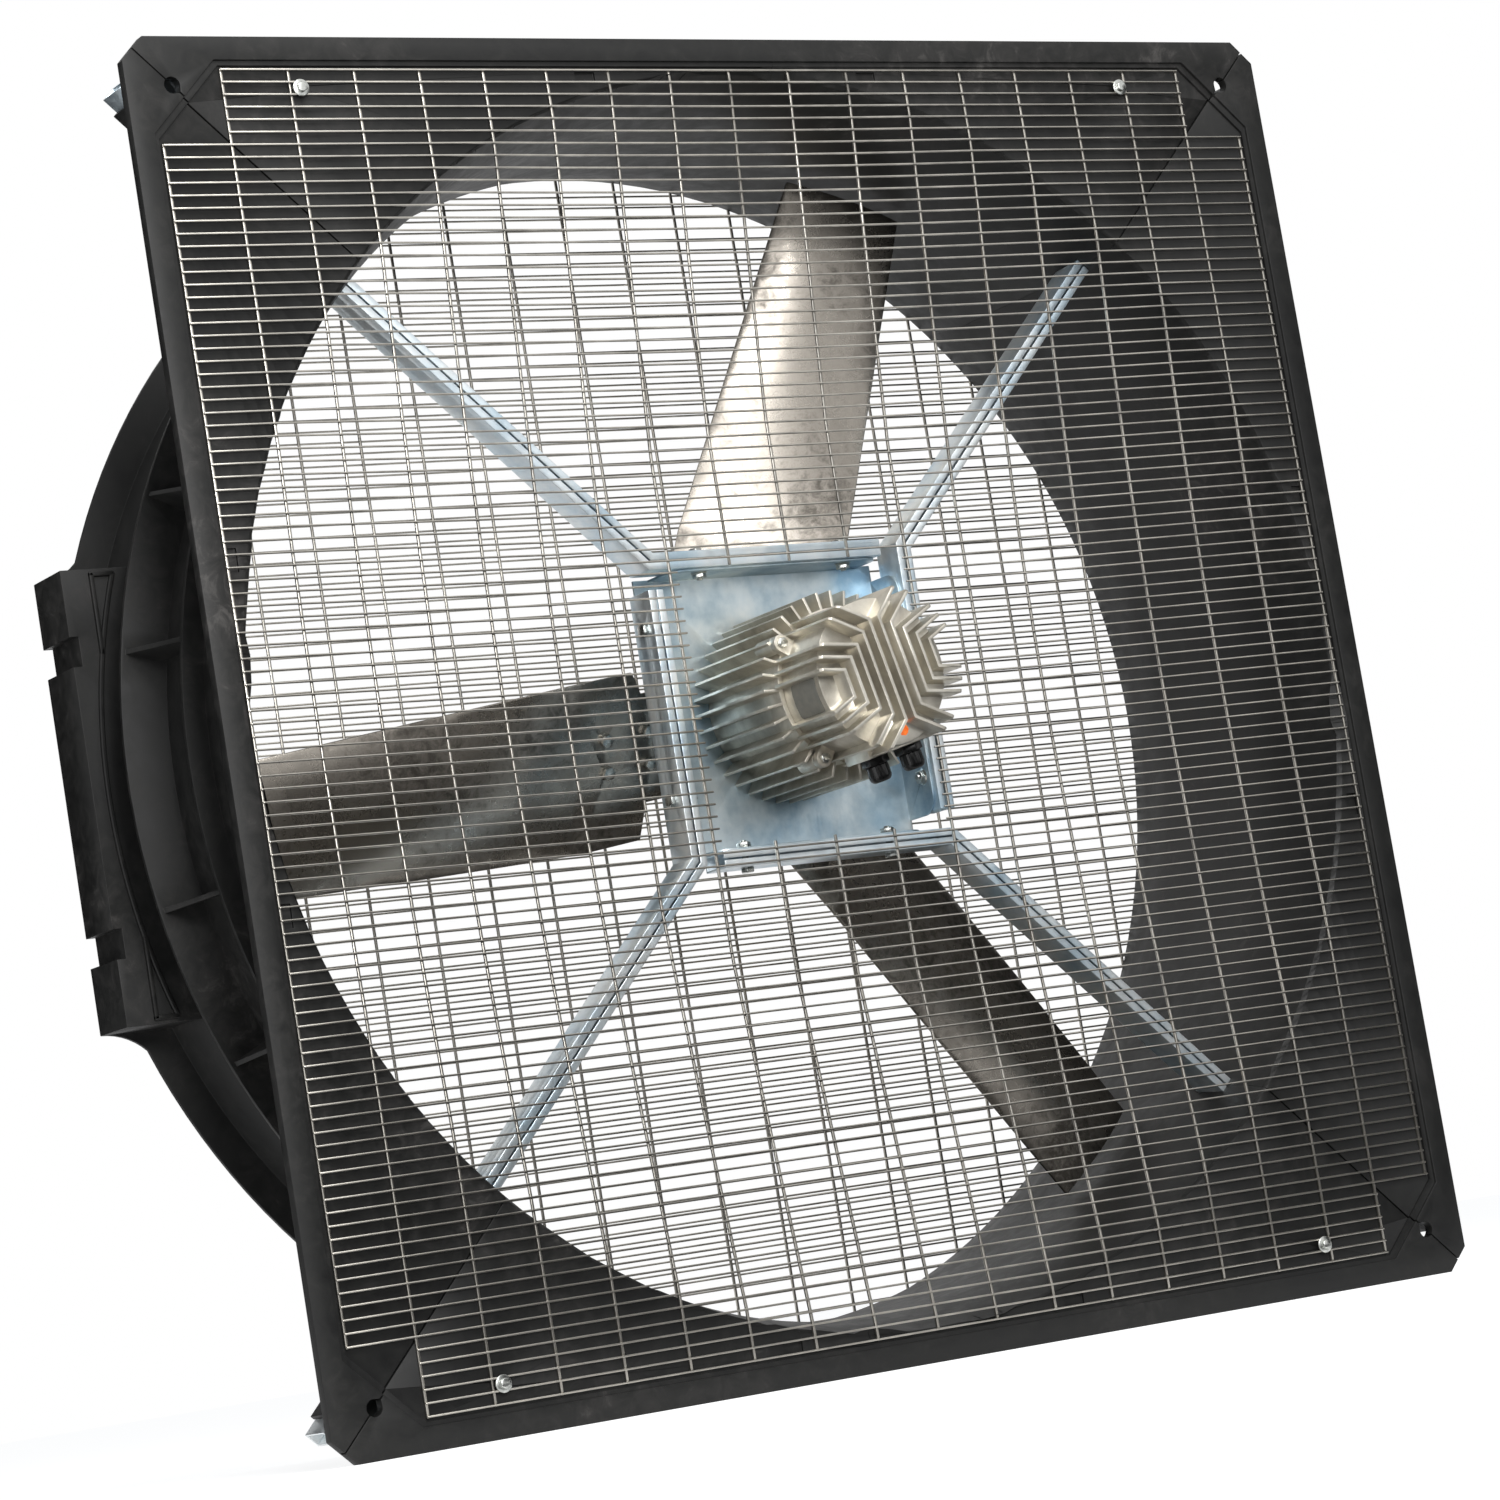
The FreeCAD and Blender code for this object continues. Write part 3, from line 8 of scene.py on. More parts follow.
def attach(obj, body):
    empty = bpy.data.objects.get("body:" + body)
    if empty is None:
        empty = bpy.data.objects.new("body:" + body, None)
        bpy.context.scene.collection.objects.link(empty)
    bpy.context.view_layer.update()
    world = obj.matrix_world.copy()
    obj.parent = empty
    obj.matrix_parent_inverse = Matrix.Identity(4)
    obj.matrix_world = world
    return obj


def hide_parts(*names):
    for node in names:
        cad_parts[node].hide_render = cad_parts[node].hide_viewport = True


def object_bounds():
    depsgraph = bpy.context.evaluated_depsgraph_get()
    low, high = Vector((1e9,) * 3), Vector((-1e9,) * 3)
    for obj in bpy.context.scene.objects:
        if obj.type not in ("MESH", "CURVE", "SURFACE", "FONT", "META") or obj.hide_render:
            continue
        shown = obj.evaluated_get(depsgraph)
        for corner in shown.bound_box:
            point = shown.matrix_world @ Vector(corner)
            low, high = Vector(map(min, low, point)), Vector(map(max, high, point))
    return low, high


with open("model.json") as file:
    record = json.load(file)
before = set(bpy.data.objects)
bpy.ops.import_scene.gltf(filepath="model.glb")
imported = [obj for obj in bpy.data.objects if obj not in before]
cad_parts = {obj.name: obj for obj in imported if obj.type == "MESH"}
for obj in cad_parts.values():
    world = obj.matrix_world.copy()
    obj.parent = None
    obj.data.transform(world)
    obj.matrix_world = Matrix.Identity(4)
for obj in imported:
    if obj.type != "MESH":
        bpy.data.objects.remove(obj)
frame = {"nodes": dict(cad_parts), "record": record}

cad_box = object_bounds()
nodes = frame["nodes"]


# Materials


def colour(code):
    """A colour written as sRGB hex, as linear light."""
    parts = [int(code[k:k + 2], 16) / 255 for k in (1, 3, 5)]
    return tuple(c / 12.92 if c <= 0.04045 else ((c + 0.055) / 1.055) ** 2.4 for c in parts) + (1.0,)


def grey(level):
    """A plain number as the colour of a ramp's stop, for roughness and masks."""
    return (level, level, level, 1.0)


def per_mm(size):
    """Texture scale at which a pattern's features are that many millimetres across."""
    return 1000 / size


def node(tree, kind, inputs=None, stops=None, **settings):
    """Adds a node with its settings. An input is a plain value or another node's output;
    a ramp also gets its stops, as (position, colour)."""
    made = tree.nodes.new(kind)
    for name, setting in settings.items():
        setattr(made, name, setting)
    for name, source in (inputs or {}).items():
        if isinstance(source, bpy.types.NodeSocket):
            tree.links.new(source, made.inputs[name])
        else:
            made.inputs[name].default_value = source
    for number, (position, shade) in enumerate(stops or ()):
        if number >= len(made.color_ramp.elements):
            made.color_ramp.elements.new(position)
        made.color_ramp.elements[number].position = position
        made.color_ramp.elements[number].color = shade
    return made


def new_material(name):
    """An empty material: itself, its tree, and the piece's own coordinates in metres."""
    material = bpy.data.materials.new(name)
    material.use_nodes = True
    tree = material.node_tree
    tree.nodes.clear()
    return material, tree, node(tree, "ShaderNodeTexCoord").outputs["Object"]


def surface(tree, **inputs):
    """Ends a material in one shader with these inputs, named with _ for a space."""
    named = {name.replace("_", " "): source for name, source in inputs.items()}
    shader = node(tree, "ShaderNodeBsdfPrincipled", named)
    node(tree, "ShaderNodeOutputMaterial", {"Surface": shader.outputs["BSDF"]})


# Black polypropylene, injection moulded: a dull satin skin with flow clouds, a fine spark grain
# and pale scuffs where crates and hands have rubbed it
def moulded_polypropylene():
    material, tree, place = new_material("moulded_polypropylene_black")
    clouds = node(tree, "ShaderNodeTexNoise", {"Vector": place, "Scale": per_mm(260), "Detail": 5.0,
                                               "Roughness": 0.6}).outputs["Fac"]
    rubbed = node(tree, "ShaderNodeTexNoise", {"Vector": place, "Scale": per_mm(24), "Detail": 8.0,
                                               "Roughness": 0.7, "Distortion": 0.8}).outputs["Fac"]
    grain = node(tree, "ShaderNodeTexNoise", {"Vector": place, "Scale": per_mm(1.4), "Detail": 2.0})
    scuffs = node(tree, "ShaderNodeMath", {0: rubbed, 1: clouds}, operation="MULTIPLY").outputs["Value"]
    skin = node(tree, "ShaderNodeValToRGB", {"Fac": scuffs},
                [(0.15, colour("#161616")), (0.25, colour("#1c1c1b")), (0.34, colour("#272625")),
                 (0.46, colour("#474543"))])
    dull = node(tree, "ShaderNodeValToRGB", {"Fac": rubbed}, [(0.30, grey(0.44)), (0.70, grey(0.62))])
    fine = node(tree, "ShaderNodeBump", {"Height": grain.outputs["Fac"], "Strength": 0.10,
                                         "Distance": 0.0004})
    waves = node(tree, "ShaderNodeBump", {"Height": clouds, "Strength": 0.20, "Distance": 0.002,
                                          "Normal": fine.outputs["Normal"]})
    surface(tree, Base_Color=skin.outputs["Color"], Roughness=dull.outputs["Color"], IOR=1.49,
            Specular_IOR_Level=0.30, Normal=waves.outputs["Normal"])
    return material


# Blue-passivated zinc on folded steel: bright and cool, cloudy between the given shades, with faint
# rolling lines
def zinc_plated(name, *shades):
    material, tree, place = new_material(name)
    clouds = node(tree, "ShaderNodeTexNoise", {"Vector": place, "Scale": per_mm(80), "Detail": 5.0,
                                               "Roughness": 0.6}).outputs["Fac"]
    stretched = node(tree, "ShaderNodeMapping", {"Vector": place, "Scale": (1.0, 1.0, 0.08)})
    rolled = node(tree, "ShaderNodeTexNoise", {"Vector": stretched.outputs["Vector"], "Scale": per_mm(3),
                                               "Detail": 3.0, "Roughness": 0.6}).outputs["Fac"]
    plating = node(tree, "ShaderNodeValToRGB", {"Fac": clouds},
                   [(stop, colour(shade)) for stop, shade in zip((0.32, 0.45, 0.58, 0.74), shades)])
    haze = node(tree, "ShaderNodeValToRGB", {"Fac": rolled}, [(0.30, grey(0.32)), (0.70, grey(0.46))])
    lines = node(tree, "ShaderNodeBump", {"Height": rolled, "Strength": 0.08, "Distance": 0.0004})
    surface(tree, Base_Color=plating.outputs["Color"], Metallic=0.82, Roughness=haze.outputs["Color"],
            Normal=lines.outputs["Normal"])
    return material


# Drawn wire, galvanised after welding: dull warm silver, with darker patches along its length
def galvanised_wire():
    material, tree, place = new_material("galvanised_drawn_wire")
    patches = node(tree, "ShaderNodeTexNoise", {"Vector": place, "Scale": per_mm(45), "Detail": 4.0,
                                                "Roughness": 0.6}).outputs["Fac"]
    drawn = node(tree, "ShaderNodeTexNoise", {"Vector": place, "Scale": per_mm(2), "Detail": 2.0})
    shade = node(tree, "ShaderNodeValToRGB", {"Fac": patches},
                 [(0.30, colour("#95928c")), (0.52, colour("#b3afa7")), (0.74, colour("#cdc9c0"))])
    dull = node(tree, "ShaderNodeValToRGB", {"Fac": patches}, [(0.30, grey(0.46)), (0.70, grey(0.30))])
    skin = node(tree, "ShaderNodeBump", {"Height": drawn.outputs["Fac"], "Strength": 0.15,
                                         "Distance": 0.0002})
    surface(tree, Base_Color=shade.outputs["Color"], Metallic=1.0, Roughness=dull.outputs["Color"],
            Normal=skin.outputs["Normal"])
    return material


# Aluminium as it leaves the die: a dull warm silver, because its fine cast skin scatters much of
# the light, with greyer flow marks
def die_cast_aluminium():
    material, tree, place = new_material("die_cast_aluminium")
    flow = node(tree, "ShaderNodeTexNoise", {"Vector": place, "Scale": per_mm(40), "Detail": 6.0,
                                             "Roughness": 0.62, "Distortion": 0.4}).outputs["Fac"]
    skin = node(tree, "ShaderNodeTexNoise", {"Vector": place, "Scale": per_mm(1.8), "Detail": 3.0,
                                             "Roughness": 0.7})
    shade = node(tree, "ShaderNodeValToRGB", {"Fac": flow},
                 [(0.30, colour("#b4aea2")), (0.50, colour("#d0cbbf")), (0.72, colour("#e6e2d7"))])
    dull = node(tree, "ShaderNodeValToRGB", {"Fac": flow}, [(0.30, grey(0.44)), (0.70, grey(0.32))])
    pits = node(tree, "ShaderNodeBump", {"Height": skin.outputs["Fac"], "Strength": 0.22,
                                         "Distance": 0.0004})
    surface(tree, Base_Color=shade.outputs["Color"], Metallic=0.82, Roughness=dull.outputs["Color"],
            Normal=pits.outputs["Normal"])
    return material


# Hot-dip galvanised sheet in use: silver with a warm tinge, a faint spangle of crystals, and fields
# of dark flecks where dust and damp have dulled the zinc
def galvanised_sheet():
    material, tree, place = new_material("hot_dip_galvanised_sheet")
    spangle = node(tree, "ShaderNodeTexVoronoi", {"Vector": place, "Scale": per_mm(7),
                                                  "Randomness": 1.0})
    crystal = node(tree, "ShaderNodeSeparateColor", {"Color": spangle.outputs["Color"]}).outputs["Red"]
    fields = node(tree, "ShaderNodeTexNoise", {"Vector": place, "Scale": per_mm(130), "Detail": 3.0,
                                               "Distortion": 0.5}).outputs["Fac"]
    flecks = node(tree, "ShaderNodeTexNoise", {"Vector": place, "Scale": per_mm(18), "Detail": 8.0,
                                               "Roughness": 0.78, "Distortion": 0.5}).outputs["Fac"]
    dirt = node(tree, "ShaderNodeMath", {0: fields, 1: flecks}, operation="MULTIPLY").outputs["Value"]
    worn = node(tree, "ShaderNodeMath", {0: crystal, 1: 0.03, 2: dirt},
                operation="MULTIPLY_ADD").outputs["Value"]
    shade = node(tree, "ShaderNodeValToRGB", {"Fac": worn},
                 [(0.17, colour("#aca69d")), (0.28, colour("#9b958d")), (0.34, colour("#7f7a73")),
                  (0.41, colour("#5d5953"))])
    dull = node(tree, "ShaderNodeValToRGB", {"Fac": worn}, [(0.20, grey(0.26)), (0.40, grey(0.42))])
    surface(tree, Base_Color=shade.outputs["Color"], Metallic=1.0, Roughness=dull.outputs["Color"])
    return material


# A machined or plated metal: two close shades in patches of the given size, in millimetres
def plated_metal(name, dark, light, rough, size):
    material, tree, place = new_material(name)
    patches = node(tree, "ShaderNodeTexNoise", {"Vector": place, "Scale": per_mm(size), "Detail": 3.0})
    shade = node(tree, "ShaderNodeValToRGB", {"Fac": patches.outputs["Fac"]},
                 [(0.3, colour(dark)), (0.7, colour(light))])
    dull = node(tree, "ShaderNodeValToRGB", {"Fac": patches.outputs["Fac"]},
                [(0.3, grey(rough + 0.10)), (0.7, grey(rough))])
    surface(tree, Base_Color=shade.outputs["Color"], Metallic=1.0, Roughness=dull.outputs["Color"])
    return material


# A moulded polymer or a coat of paint: two close shades and a fine grain of the given size
def fine_polymer(name, dark, light, rough, size, ior=1.5):
    material, tree, place = new_material(name)
    grain = node(tree, "ShaderNodeTexNoise", {"Vector": place, "Scale": per_mm(size), "Detail": 3.0})
    shade = node(tree, "ShaderNodeValToRGB", {"Fac": grain.outputs["Fac"]},
                 [(0.3, colour(dark)), (0.7, colour(light))])
    dull = node(tree, "ShaderNodeValToRGB", {"Fac": grain.outputs["Fac"]},
                [(0.3, grey(rough)), (0.7, grey(rough + 0.12))])
    skin = node(tree, "ShaderNodeBump", {"Height": grain.outputs["Fac"], "Strength": 0.12,
                                         "Distance": 0.0003})
    surface(tree, Base_Color=shade.outputs["Color"], Roughness=dull.outputs["Color"], IOR=ior,
            Normal=skin.outputs["Normal"])
    return material


finishes = {
    "moulded_black": moulded_polypropylene(),
    "zinc_sheet": zinc_plated("zinc_plated_steel_sheet", "#86a3b8", "#b1c5d0", "#d3dfe4", "#e8eeee"),
    "steel_wire": galvanised_wire(),
    "cast_aluminium": die_cast_aluminium(),
    "blade_sheet": galvanised_sheet(),
    "zinc_fastener": plated_metal("bright_zinc_plated_steel", "#b2b5b2", "#d6d7d2", 0.24, 4),
    "bright_steel": plated_metal("ground_bearing_steel", "#85878a", "#a6a8aa", 0.22, 3),
    "black_plastic": fine_polymer("moulded_polyamide_black", "#090909", "#101010", 0.26, 1.5, 1.53),
    "seal_rubber": fine_polymer("nitrile_rubber", "#121212", "#1c1b1a", 0.60, 2, 1.52),
    "copper_winding": plated_metal("enamelled_copper_wire", "#8a4a22", "#b06a35", 0.34, 1.5),
    "board_green": fine_polymer("solder_mask_green", "#123d22", "#1b5230", 0.35, 5),
}
# Finishes that aren't a slot's own: the struts' zinc in lighter shades, painted light where they stand
# brighter lit than the plate, the bare label and the paint mark
strut_zinc_painted_lighter = zinc_plated("zinc_plated_steel_strip_painted_lit", "#bcd2e0", "#dae7ef", "#ecf3f6", "#f7fafa")
label_film = fine_polymer("bare_polyester_film_label", "#74726c", "#868379", 0.34, 9)
marking_paint = fine_polymer("brushed_on_orange_paint", "#f0600f", "#ff8a35", 0.40, 2.5)
struts = [f"strut_{corner}" for corner in ("top_left", "top_right", "bottom_right", "bottom_left")]
for part in frame["record"]["subparts"]:
    mesh = nodes[part["node"]].data
    mesh.materials.clear()
    # The struts take the lighter copy of the zinc: painted light
    mesh.materials.append(strut_zinc_painted_lighter if part["node"] in struts else finishes[part["material_slot"]])


# Ways of modelling a piece


def only(piece):
    """Selects one piece and nothing else."""
    bpy.ops.object.select_all(action="DESELECT")
    piece.select_set(True)
    bpy.context.view_layer.objects.active = piece


def pick_faces(piece, wanted):
    """Opens a piece for modelling with the faces selected whose middle and normal pass the test."""
    only(piece)
    bpy.ops.object.mode_set(mode="EDIT")
    bpy.ops.mesh.select_mode(type="FACE")
    bpy.ops.mesh.select_all(action="DESELECT")
    bpy.ops.object.mode_set(mode="OBJECT")
    for face in piece.data.polygons:
        face.select = wanted(face.center, face.normal)
    bpy.ops.object.mode_set(mode="EDIT")


def smoothed(piece, angle=40):
    """Shades a piece smoothly, up to edges that turn by more than the angle in degrees."""
    only(piece)
    bpy.ops.object.shade_smooth_by_angle(angle=math.radians(angle))
    return piece


def rounded(piece, edge):
    """Rounds off a piece's sharp edges by the given width in metres."""
    only(piece)
    rounding = piece.modifiers.new("rounding", "BEVEL")
    rounding.width = edge
    rounding.segments = 2
    rounding.limit_method = "ANGLE"
    rounding.angle_limit = math.radians(40)
    rounding.use_clamp_overlap = False
    bpy.ops.object.modifier_apply(modifier="rounding")
    return smoothed(piece)


def hand_over(piece, body, source):
    """Gives a piece to its body, and hides the node it stands in place of, where it has one."""
    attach(piece, body)
    if source:
        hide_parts(source)


def spun(name, profile, steps=24, sweep=math.tau):
    """A piece turned about Z from a profile of (radius, height), in metres."""
    bpy.ops.object.select_all(action="DESELECT")
    bpy.ops.mesh.primitive_circle_add(vertices=3, radius=0.001)
    piece = bpy.context.object
    piece.name = name
    bpy.ops.object.mode_set(mode="EDIT")
    bpy.ops.mesh.select_mode(type="VERT")
    bpy.ops.mesh.select_all(action="SELECT")
    bpy.ops.mesh.merge(type="CENTER")
    bpy.ops.transform.translate(value=(profile[0][0], 0, profile[0][1]))
    for (radius, height), (next_radius, next_height) in zip(profile, profile[1:]):
        step = (next_radius - radius, 0, next_height - height)
        bpy.ops.mesh.extrude_vertices_move(TRANSFORM_OT_translate={"value": step})
    bpy.ops.mesh.select_all(action="SELECT")
    bpy.ops.mesh.spin(steps=steps, angle=sweep, center=(0, 0, 0), axis=(0, 0, 1))
    bpy.ops.mesh.select_all(action="SELECT")
    bpy.ops.mesh.remove_doubles(threshold=0.000005)
    bpy.ops.mesh.normals_make_consistent(inside=False)
    bpy.ops.object.mode_set(mode="OBJECT")
    return piece


def hexagon(name, flats, low, high, crown):
    """A hexagon along Z from low to high, with its corners taken off at the low end."""
    bpy.ops.object.select_all(action="DESELECT")
    base = low + crown / 2
    bpy.ops.mesh.primitive_cylinder_add(vertices=6, radius=flats / math.sqrt(3), depth=high - base,
                                        location=(0, 0, (base + high) / 2))
    bpy.ops.object.transform_apply(location=True, rotation=True, scale=True)
    piece = bpy.context.object
    piece.name = name
    pick_faces(piece, lambda middle, normal: normal.z < -0.9)
    bpy.ops.mesh.inset(thickness=crown, depth=crown / 2)
    bpy.ops.object.mode_set(mode="OBJECT")
    return rounded(piece, 0.03 * flats)


def joined(piece, *others):
    """One piece from several."""
    only(piece)
    for other in others:
        other.select_set(True)
    bpy.ops.object.join()
    return piece


def along(point, direction):
    """A place at the point with Z along the direction."""
    turn = Vector((0, 0, 1)).rotation_difference(Vector(direction))
    return Matrix.Translation(point) @ turn.to_matrix().to_4x4()


def at_quarters(places):
    """The same places in each quarter of the fan."""
    turns = [Matrix.Rotation(math.radians(turn), 4, "Y") for turn in (0, 90, 180, 270)]
    return [turn @ place for turn in turns for place in places]


def set_out(pattern, places, body, slot, source, finish=None):
    """Copies a modelled piece to each place as a piece of its own, and takes the pattern away."""
    for number, place in enumerate(places, start=1):
        mesh = pattern.data.copy()
        mesh.transform(place)
        mesh.materials.clear()
        mesh.materials.append(finish or finishes[slot])
        piece = bpy.data.objects.new(f"{pattern.name}_{number}", mesh)
        bpy.context.scene.collection.objects.link(piece)
        hand_over(piece, body, source)
    bpy.data.objects.remove(pattern)


def finished_edges(name, source, body, edge):
    """A merged copy of a node whose sharp edges are rounded off by the given width in metres."""
    mesh = nodes[source].data.copy()
    mesh.name = name
    piece = bpy.data.objects.new(name, mesh)
    bpy.context.scene.collection.objects.link(piece)
    only(piece)
    bpy.ops.object.mode_set(mode="EDIT")
    bpy.ops.mesh.select_all(action="SELECT")
    bpy.ops.mesh.customdata_custom_splitnormals_clear()
    bpy.ops.mesh.remove_doubles(threshold=0.000005)
    bpy.ops.object.mode_set(mode="OBJECT")
    rounded(piece, edge)
    hand_over(piece, body, source)


# Mouldings, castings, sheet and wire, with their edges rounded off

for name, source, slot, edge in (
        ("front_grille_wires", "front_grille", "steel_wire", 0.0009),
        ("rear_guard_wires", "rear_guard", "steel_wire", 0.0009),
        ("end_cap_casting", "motor_end_cap", "cast_aluminium", 0.0007),
        ("motor_casting", "motor_body", "cast_aluminium", 0.0006),
        ("plate_pressing", "motor_plate", "zinc_sheet", 0.0006)):
    finished_edges(name, source, "housing", edge)
for strut in struts:
    finished_edges(f"{strut}_folded", strut, "housing", 0.0006)
for side in ("top", "right", "bottom", "left"):
    finished_edges(f"housing_{side}_moulding", f"housing_segment_{side}", "housing",
                   0.0006)
for number in (1, 2, 3):
    finished_edges(f"blade_{number}_sheet", f"blade_{number}", "propeller", 0.0008)
finished_edges("hub_casting", "propeller_hub", "propeller", 0.0010)
for source, body in (
        ("seam_bolts", "housing"), ("anchor_bolts", "housing"), ("housing_nuts", "housing"),
        ("blade_bolts", "propeller"), ("blade_nuts", "propeller"), ("hub_washer", "propeller")):
    finished_edges(f"{source}_chamfered", source, body, 0.0005)


# Beads on the feet


def foot_bead(name):
    """The raised bead on a foot's front web: an arc about Z, with a straight side and an end bar
    near each of its ends."""
    sweep = math.radians(39.4)
    sunk, shoulder, crown = -0.0005, 0.0030, 0.0040
    bead = spun(name, [(0.6805, sunk), (0.6805, shoulder), (0.6818, crown), (0.6842, crown),
                       (0.6855, shoulder), (0.6855, sunk), (0.6805, sunk)], 40, sweep)
    only(bead)
    bpy.ops.object.mode_set(mode="EDIT")
    bpy.ops.mesh.select_all(action="SELECT")
    bpy.ops.mesh.fill_holes(sides=0)
    bpy.ops.mesh.normals_make_consistent(inside=False)
    bpy.ops.object.mode_set(mode="OBJECT")
    bead.data.transform(Matrix.Rotation(sweep / 2, 4, "Z"))
    bars = []
    straight_side, end_bar = (0.667, 0.1885, 0.005, 0.087), (0.6555, 0.230, 0.028, 0.005)
    for out, along_foot, thick, long in (straight_side, end_bar):
        for side in (1, -1):
            bpy.ops.object.select_all(action="DESELECT")
            middle = (out, side * along_foot, (sunk + crown) / 2)
            bpy.ops.mesh.primitive_cube_add(size=1, location=middle)
            bars.append(bpy.context.object)
            bpy.ops.transform.resize(value=(thick, long, crown - sunk))
            bpy.ops.object.transform_apply(location=True, rotation=True, scale=True)
            rounded(bars[-1], 0.0012)
    return joined(bead, *bars)


# The left foot's web: X to the left, Z to the front
web_face = 0.318
bead_place = Matrix(((-1, 0, 0, 0), (0, 0, -1, web_face), (0, -1, 0, 0), (0, 0, 0, 1)))
set_out(foot_bead("foot_bead"), at_quarters([bead_place]), "housing", "moulded_black", None)


# Screws, bolts, nuts and washers

front, back, up, down = (0, -1, 0), (0, 1, 0), (0, 0, 1), (0, 0, -1)
m6, m8, m12 = 0.003, 0.004, 0.006  # radii of the shanks
cap_turn = Matrix.Rotation(math.radians(-13), 4, "Y")  # the motor's end cap sits turned


def thread(radius, low, high, pitch):
    """The profile of a thread from low to high, with its crests at the radius."""
    turns = [low + number * pitch for number in range(int((high - low) / pitch))]
    return [point for height in turns
            for point in ((radius - 0.6 * pitch, height), (radius, height + pitch / 2))]


def bolt(name, radius, grip):
    """A hexagon bolt along Z: its head under the origin, its threaded shank above it."""
    flats, collar, pitch = 3.25 * radius, 0.1 * radius, 0.28 * radius
    seat = [(0, -collar), (0.47 * flats, -collar), (0.47 * flats, 0), (0.95 * radius, 0)]
    tip = [(0.7 * radius, grip), (0, grip)]
    shank = spun(f"{name}_shank", seat + thread(0.98 * radius, pitch, grip - pitch, pitch) + tip)
    return joined(hexagon(name, flats, -1.3 * radius, -collar, 0.11 * flats), shank)


def flange_nut(name, radius):
    """A nut under the origin, on a round flange."""
    flats, flange = 3.25 * radius, 0.35 * radius
    top = -1.4 * flange
    collar = spun(f"{name}_flange", [(radius, 0), (2.1 * radius, 0), (2.2 * radius, -0.4 * flange),
                                     (1.7 * radius, top), (radius, top), (radius, 0)])
    return joined(hexagon(name, flats, -1.6 * radius, -flange, 0.11 * flats), collar)


def washer(name):
    """A plain washer above the origin, with the rounded rim that punching leaves."""
    bore, rim, thick = 0.0033, 0.0090, 0.0016
    return smoothed(spun(name, [(bore, 0.0003), (0.0036, 0), (0.0084, 0), (0.0089, 0.0004), (rim, 0.0008),
                                (rim, thick), (bore, thick), (bore, 0.0003)], 32))


grille_places = [along((x, -0.00005, z), back) for x in (0.5087, -0.5087) for z in (0.64766, -0.64766)]
set_out(washer("grille_washer"), grille_places, "housing", "zinc_fastener", "grille_washers")
set_out(bolt("grille_screw", m6, 0.01205), grille_places, "housing", "zinc_fastener", "grille_screws")
guard_seats = [(0.03206, 0.3928, 0.67331), (-0.03206, 0.3928, 0.67331)]
guard_places = at_quarters([along(seat, front) for seat in guard_seats])
set_out(washer("guard_washer"), guard_places, "housing", "zinc_fastener", "guard_washers")
set_out(bolt("guard_screw", m6, 0.0118), guard_places, "housing", "zinc_fastener", "guard_screws")
cap_place = cap_turn @ along((0.0629, -0.0325, 0.0629), back)
set_out(bolt("cap_screw", m6, 0.025), at_quarters([cap_place]),
        "housing", "zinc_fastener", "cap_screws")
bolt_places = at_quarters([along((x, 0.08, 0.167), down) for x in (0.09, -0.09)])
nut_places = at_quarters([along((x, 0.08, 0.14645), up) for x in (0.09, -0.09)])
set_out(bolt("strut_bolt", m8, 0.02855), bolt_places, "housing", "zinc_fastener", "strut_bolts")
set_out(flange_nut("strut_nut", m8), nut_places, "housing", "zinc_fastener", "strut_nuts")
set_out(bolt("motor_bolt", m8, 0.0165), at_quarters([along((0.03889, 0.120, 0.03889), front)]),
        "housing", "zinc_fastener", "motor_bolts")
set_out(bolt("hub_screw", m12, 0.028), [along((0, 0.259, 0), front)],
        "propeller", "zinc_fastener", "hub_bolt")


# Cable glands, label and paint mark on the motor's end cap


def cable_gland(name):
    """A gland under the origin: a hexagon, and a fluted cap nut round an open bore."""
    bore, rim = 0.0056, 0.0120
    cap = spun(f"{name}_cap", [(bore, -0.0080), (0.0112, -0.0080), (rim, -0.0090), (rim, -0.0205),
                               (0.0113, -0.0228), (0.0096, -0.0250), (0.0074, -0.0260),
                               (0.0064, -0.0260), (bore, -0.0250), (bore, -0.0080)], 32)
    face_turn = math.tau / 32
    pick_faces(cap, lambda middle, normal: middle.xy.length > 0.0115 and -0.0205 < middle.z < -0.0090
               and int((math.atan2(middle.y, middle.x) + math.pi) / face_turn) % 2 == 0)
    bpy.ops.mesh.inset(thickness=0.0004, depth=-0.0006, use_individual=True)
    bpy.ops.object.mode_set(mode="OBJECT")
    smoothed(cap, 30)
    stub = spun(f"{name}_stub", [(0, 0), (0.0078, 0)] + thread(0.0080, 0.001, 0.0075, 0.0015)
                + [(0.0070, 0.0080), (0, 0.0080)])
    return joined(hexagon(name, 0.026, -0.0080, 0, 0.0016), cap, stub)


def gland_seal(name):
    """The soft ring in the mouth of a gland."""
    inside, outside = 0.0050, 0.0057
    return smoothed(spun(name, [(inside, -0.0244), (0.0053, -0.0250), (outside, -0.0250),
                                (outside, -0.0190), (inside, -0.0190), (inside, -0.0244)]))


label_sweep = math.radians(27)


